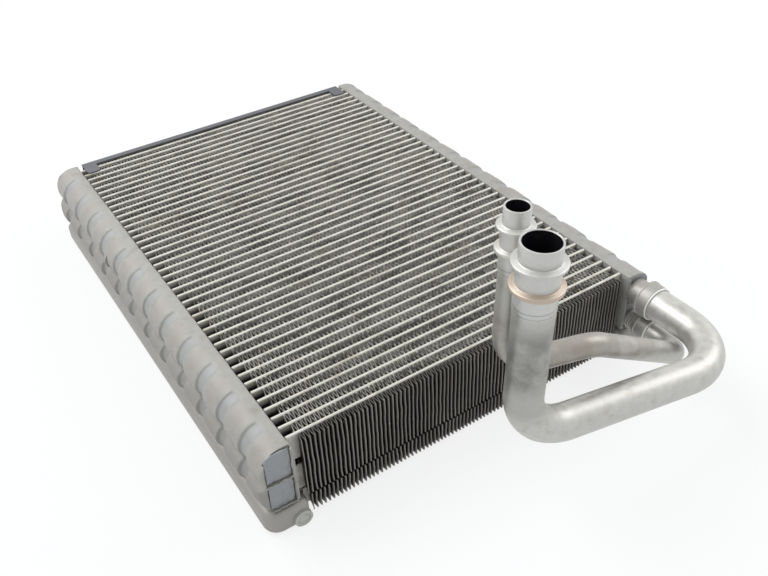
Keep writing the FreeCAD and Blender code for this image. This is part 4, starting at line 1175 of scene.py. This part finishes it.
def seen_directly(tree):
    """1 where a ray comes from the camera, a reflection or a clear body, 0 for plain light."""
    path = add_node(tree, "ShaderNodeLightPath")
    either = add_node(tree, "ShaderNodeMath", {"operation": "MAXIMUM"}, {
        0: path.outputs["Is Camera Ray"], 1: path.outputs["Is Glossy Ray"]})
    return add_node(tree, "ShaderNodeMath", {"operation": "MAXIMUM"}, {
        0: either.outputs[0], 1: path.outputs["Is Transmission Ray"]}).outputs[0]


class EVAPORATOR_OT_studio(bpy.types.Operator):
    """Set the floor, the lights and the camera"""

    bl_idname = "evaporator.studio"
    bl_label = "Studio"

    def execute(self, context):
        self.lay_floor()
        self.light(context.scene)
        self.set_camera(context.scene)
        context.scene.view_settings.view_transform = "Standard"
        return {"FINISHED"}

    def lay_floor(self):
        """Pale paper that shows plain white to the camera and keeps the core's shadow."""
        start()
        bpy.ops.mesh.primitive_plane_add(size=12, location=(0, 0, 0))
        floor = bpy.context.object
        floor.name = "studio_floor"
        material = bpy.data.materials.new("studio_floor_paper")
        material.use_nodes = True
        tree = material.node_tree
        tree.nodes.clear()
        paper = add_node(tree, "ShaderNodeBsdfDiffuse", inputs={
            "Color": rgba(colours().floor), "Roughness": 0.5})
        white = add_node(tree, "ShaderNodeEmission", inputs={"Strength": 1.0})
        share = add_node(tree, "ShaderNodeMath", {"operation": "MULTIPLY"}, {
            0: seen_directly(tree), 1: FLOOR_WHITE})
        backed = add_node(tree, "ShaderNodeMixShader", inputs={
            0: share.outputs[0], 1: paper.outputs[0], 2: white.outputs[0]})
        add_node(tree, "ShaderNodeOutputMaterial", inputs={"Surface": backed.outputs[0]})
        floor.data.materials.append(material)

    def light(self, scene):
        """An even dome, white where it is seen, with a key and a fill light."""
        world = bpy.data.worlds.new("studio_dome")
        scene.world = world
        world.use_nodes = True
        tree = world.node_tree
        tree.nodes.clear()
        seen = add_node(tree, "ShaderNodeBackground", inputs={
            "Color": (1, 1, 1, 1), "Strength": 1.0})
        glow = add_node(tree, "ShaderNodeBackground", inputs={
            "Color": (0.95, 0.975, 1.0, 1), "Strength": DOME_LIGHT})
        mix = add_node(tree, "ShaderNodeMixShader", inputs={
            0: seen_directly(tree), 1: glow.outputs[0], 2: seen.outputs[0]})
        add_node(tree, "ShaderNodeOutputWorld", inputs={"Surface": mix.outputs[0]})

        for name, place, size, power in (
                ("key_light", (-0.5, 0.6, 1.1), 0.9, 11.0),
                ("fill_light", (0.9, -0.3, 0.7), 0.7, 4.0)):
            lamp = bpy.data.lights.new(name, "AREA")
            lamp.energy = power
            lamp.size = size
            holder = bpy.data.objects.new(name, lamp)
            scene.collection.objects.link(holder)
            holder.location = place
            aim = Vector((0, 0.03, 0.03)) - Vector(place)
            holder.rotation_euler = aim.to_track_quat("-Z", "Y").to_euler()

    def set_camera(self, scene):
        """The camera at the photograph's viewing angle."""
        data = bpy.data.cameras.new("photo_camera")
        data.sensor_width = 36.0
        data.lens = CAMERA_LENS
        data.clip_start = 0.01
        camera = bpy.data.objects.new("photo_camera", data)
        scene.collection.objects.link(camera)
        camera.location = CAMERA_PLACE
        camera.rotation_euler = [math.radians(angle) for angle in CAMERA_TURN]
        scene.camera = camera


class EVAPORATOR_PT_panel(bpy.types.Panel):
    """Shows the evaporator's settings and the operators that build its pieces"""

    bl_idname = "EVAPORATOR_PT_panel"
    bl_label = "Evaporator core"
    bl_space_type = "VIEW_3D"
    bl_region_type = "UI"
    bl_category = "Evaporator"

    def draw(self, context):
        for group in (sizes(), tank_sizes(), pipe_sizes(), end_sizes(), colours()):
            for name in group.__annotations__:
                self.layout.prop(group, name)
        for operator in OPERATORS:
            self.layout.operator(operator.bl_idname)


OPERATORS = (EVAPORATOR_OT_finishes, EVAPORATOR_OT_fins, EVAPORATOR_OT_tanks,
             EVAPORATOR_OT_storage, EVAPORATOR_OT_pipes, EVAPORATOR_OT_studio)
GROUPS = {"evaporator_sizes": EvaporatorSizes, "evaporator_tank": TankSizes,
          "evaporator_pipes": PipeSizes, "evaporator_ends": EndSizes,
          "evaporator_colours": EvaporatorColours}
CLASSES = (*GROUPS.values(), *OPERATORS, EVAPORATOR_PT_panel)


def register():
    for item in CLASSES:
        bpy.utils.register_class(item)
    for name, group in GROUPS.items():
        setattr(bpy.types.Scene, name, PointerProperty(type=group))


def unregister():
    for name in GROUPS:
        delattr(bpy.types.Scene, name)
    for item in reversed(CLASSES):
        bpy.utils.unregister_class(item)


def main():
    register()
    bpy.ops.evaporator.finishes()
    bpy.ops.evaporator.fins()
    bpy.ops.evaporator.tanks()
    bpy.ops.evaporator.storage()
    bpy.ops.evaporator.pipes()
    bpy.ops.evaporator.studio()


if __name__ == "__main__":
    main()
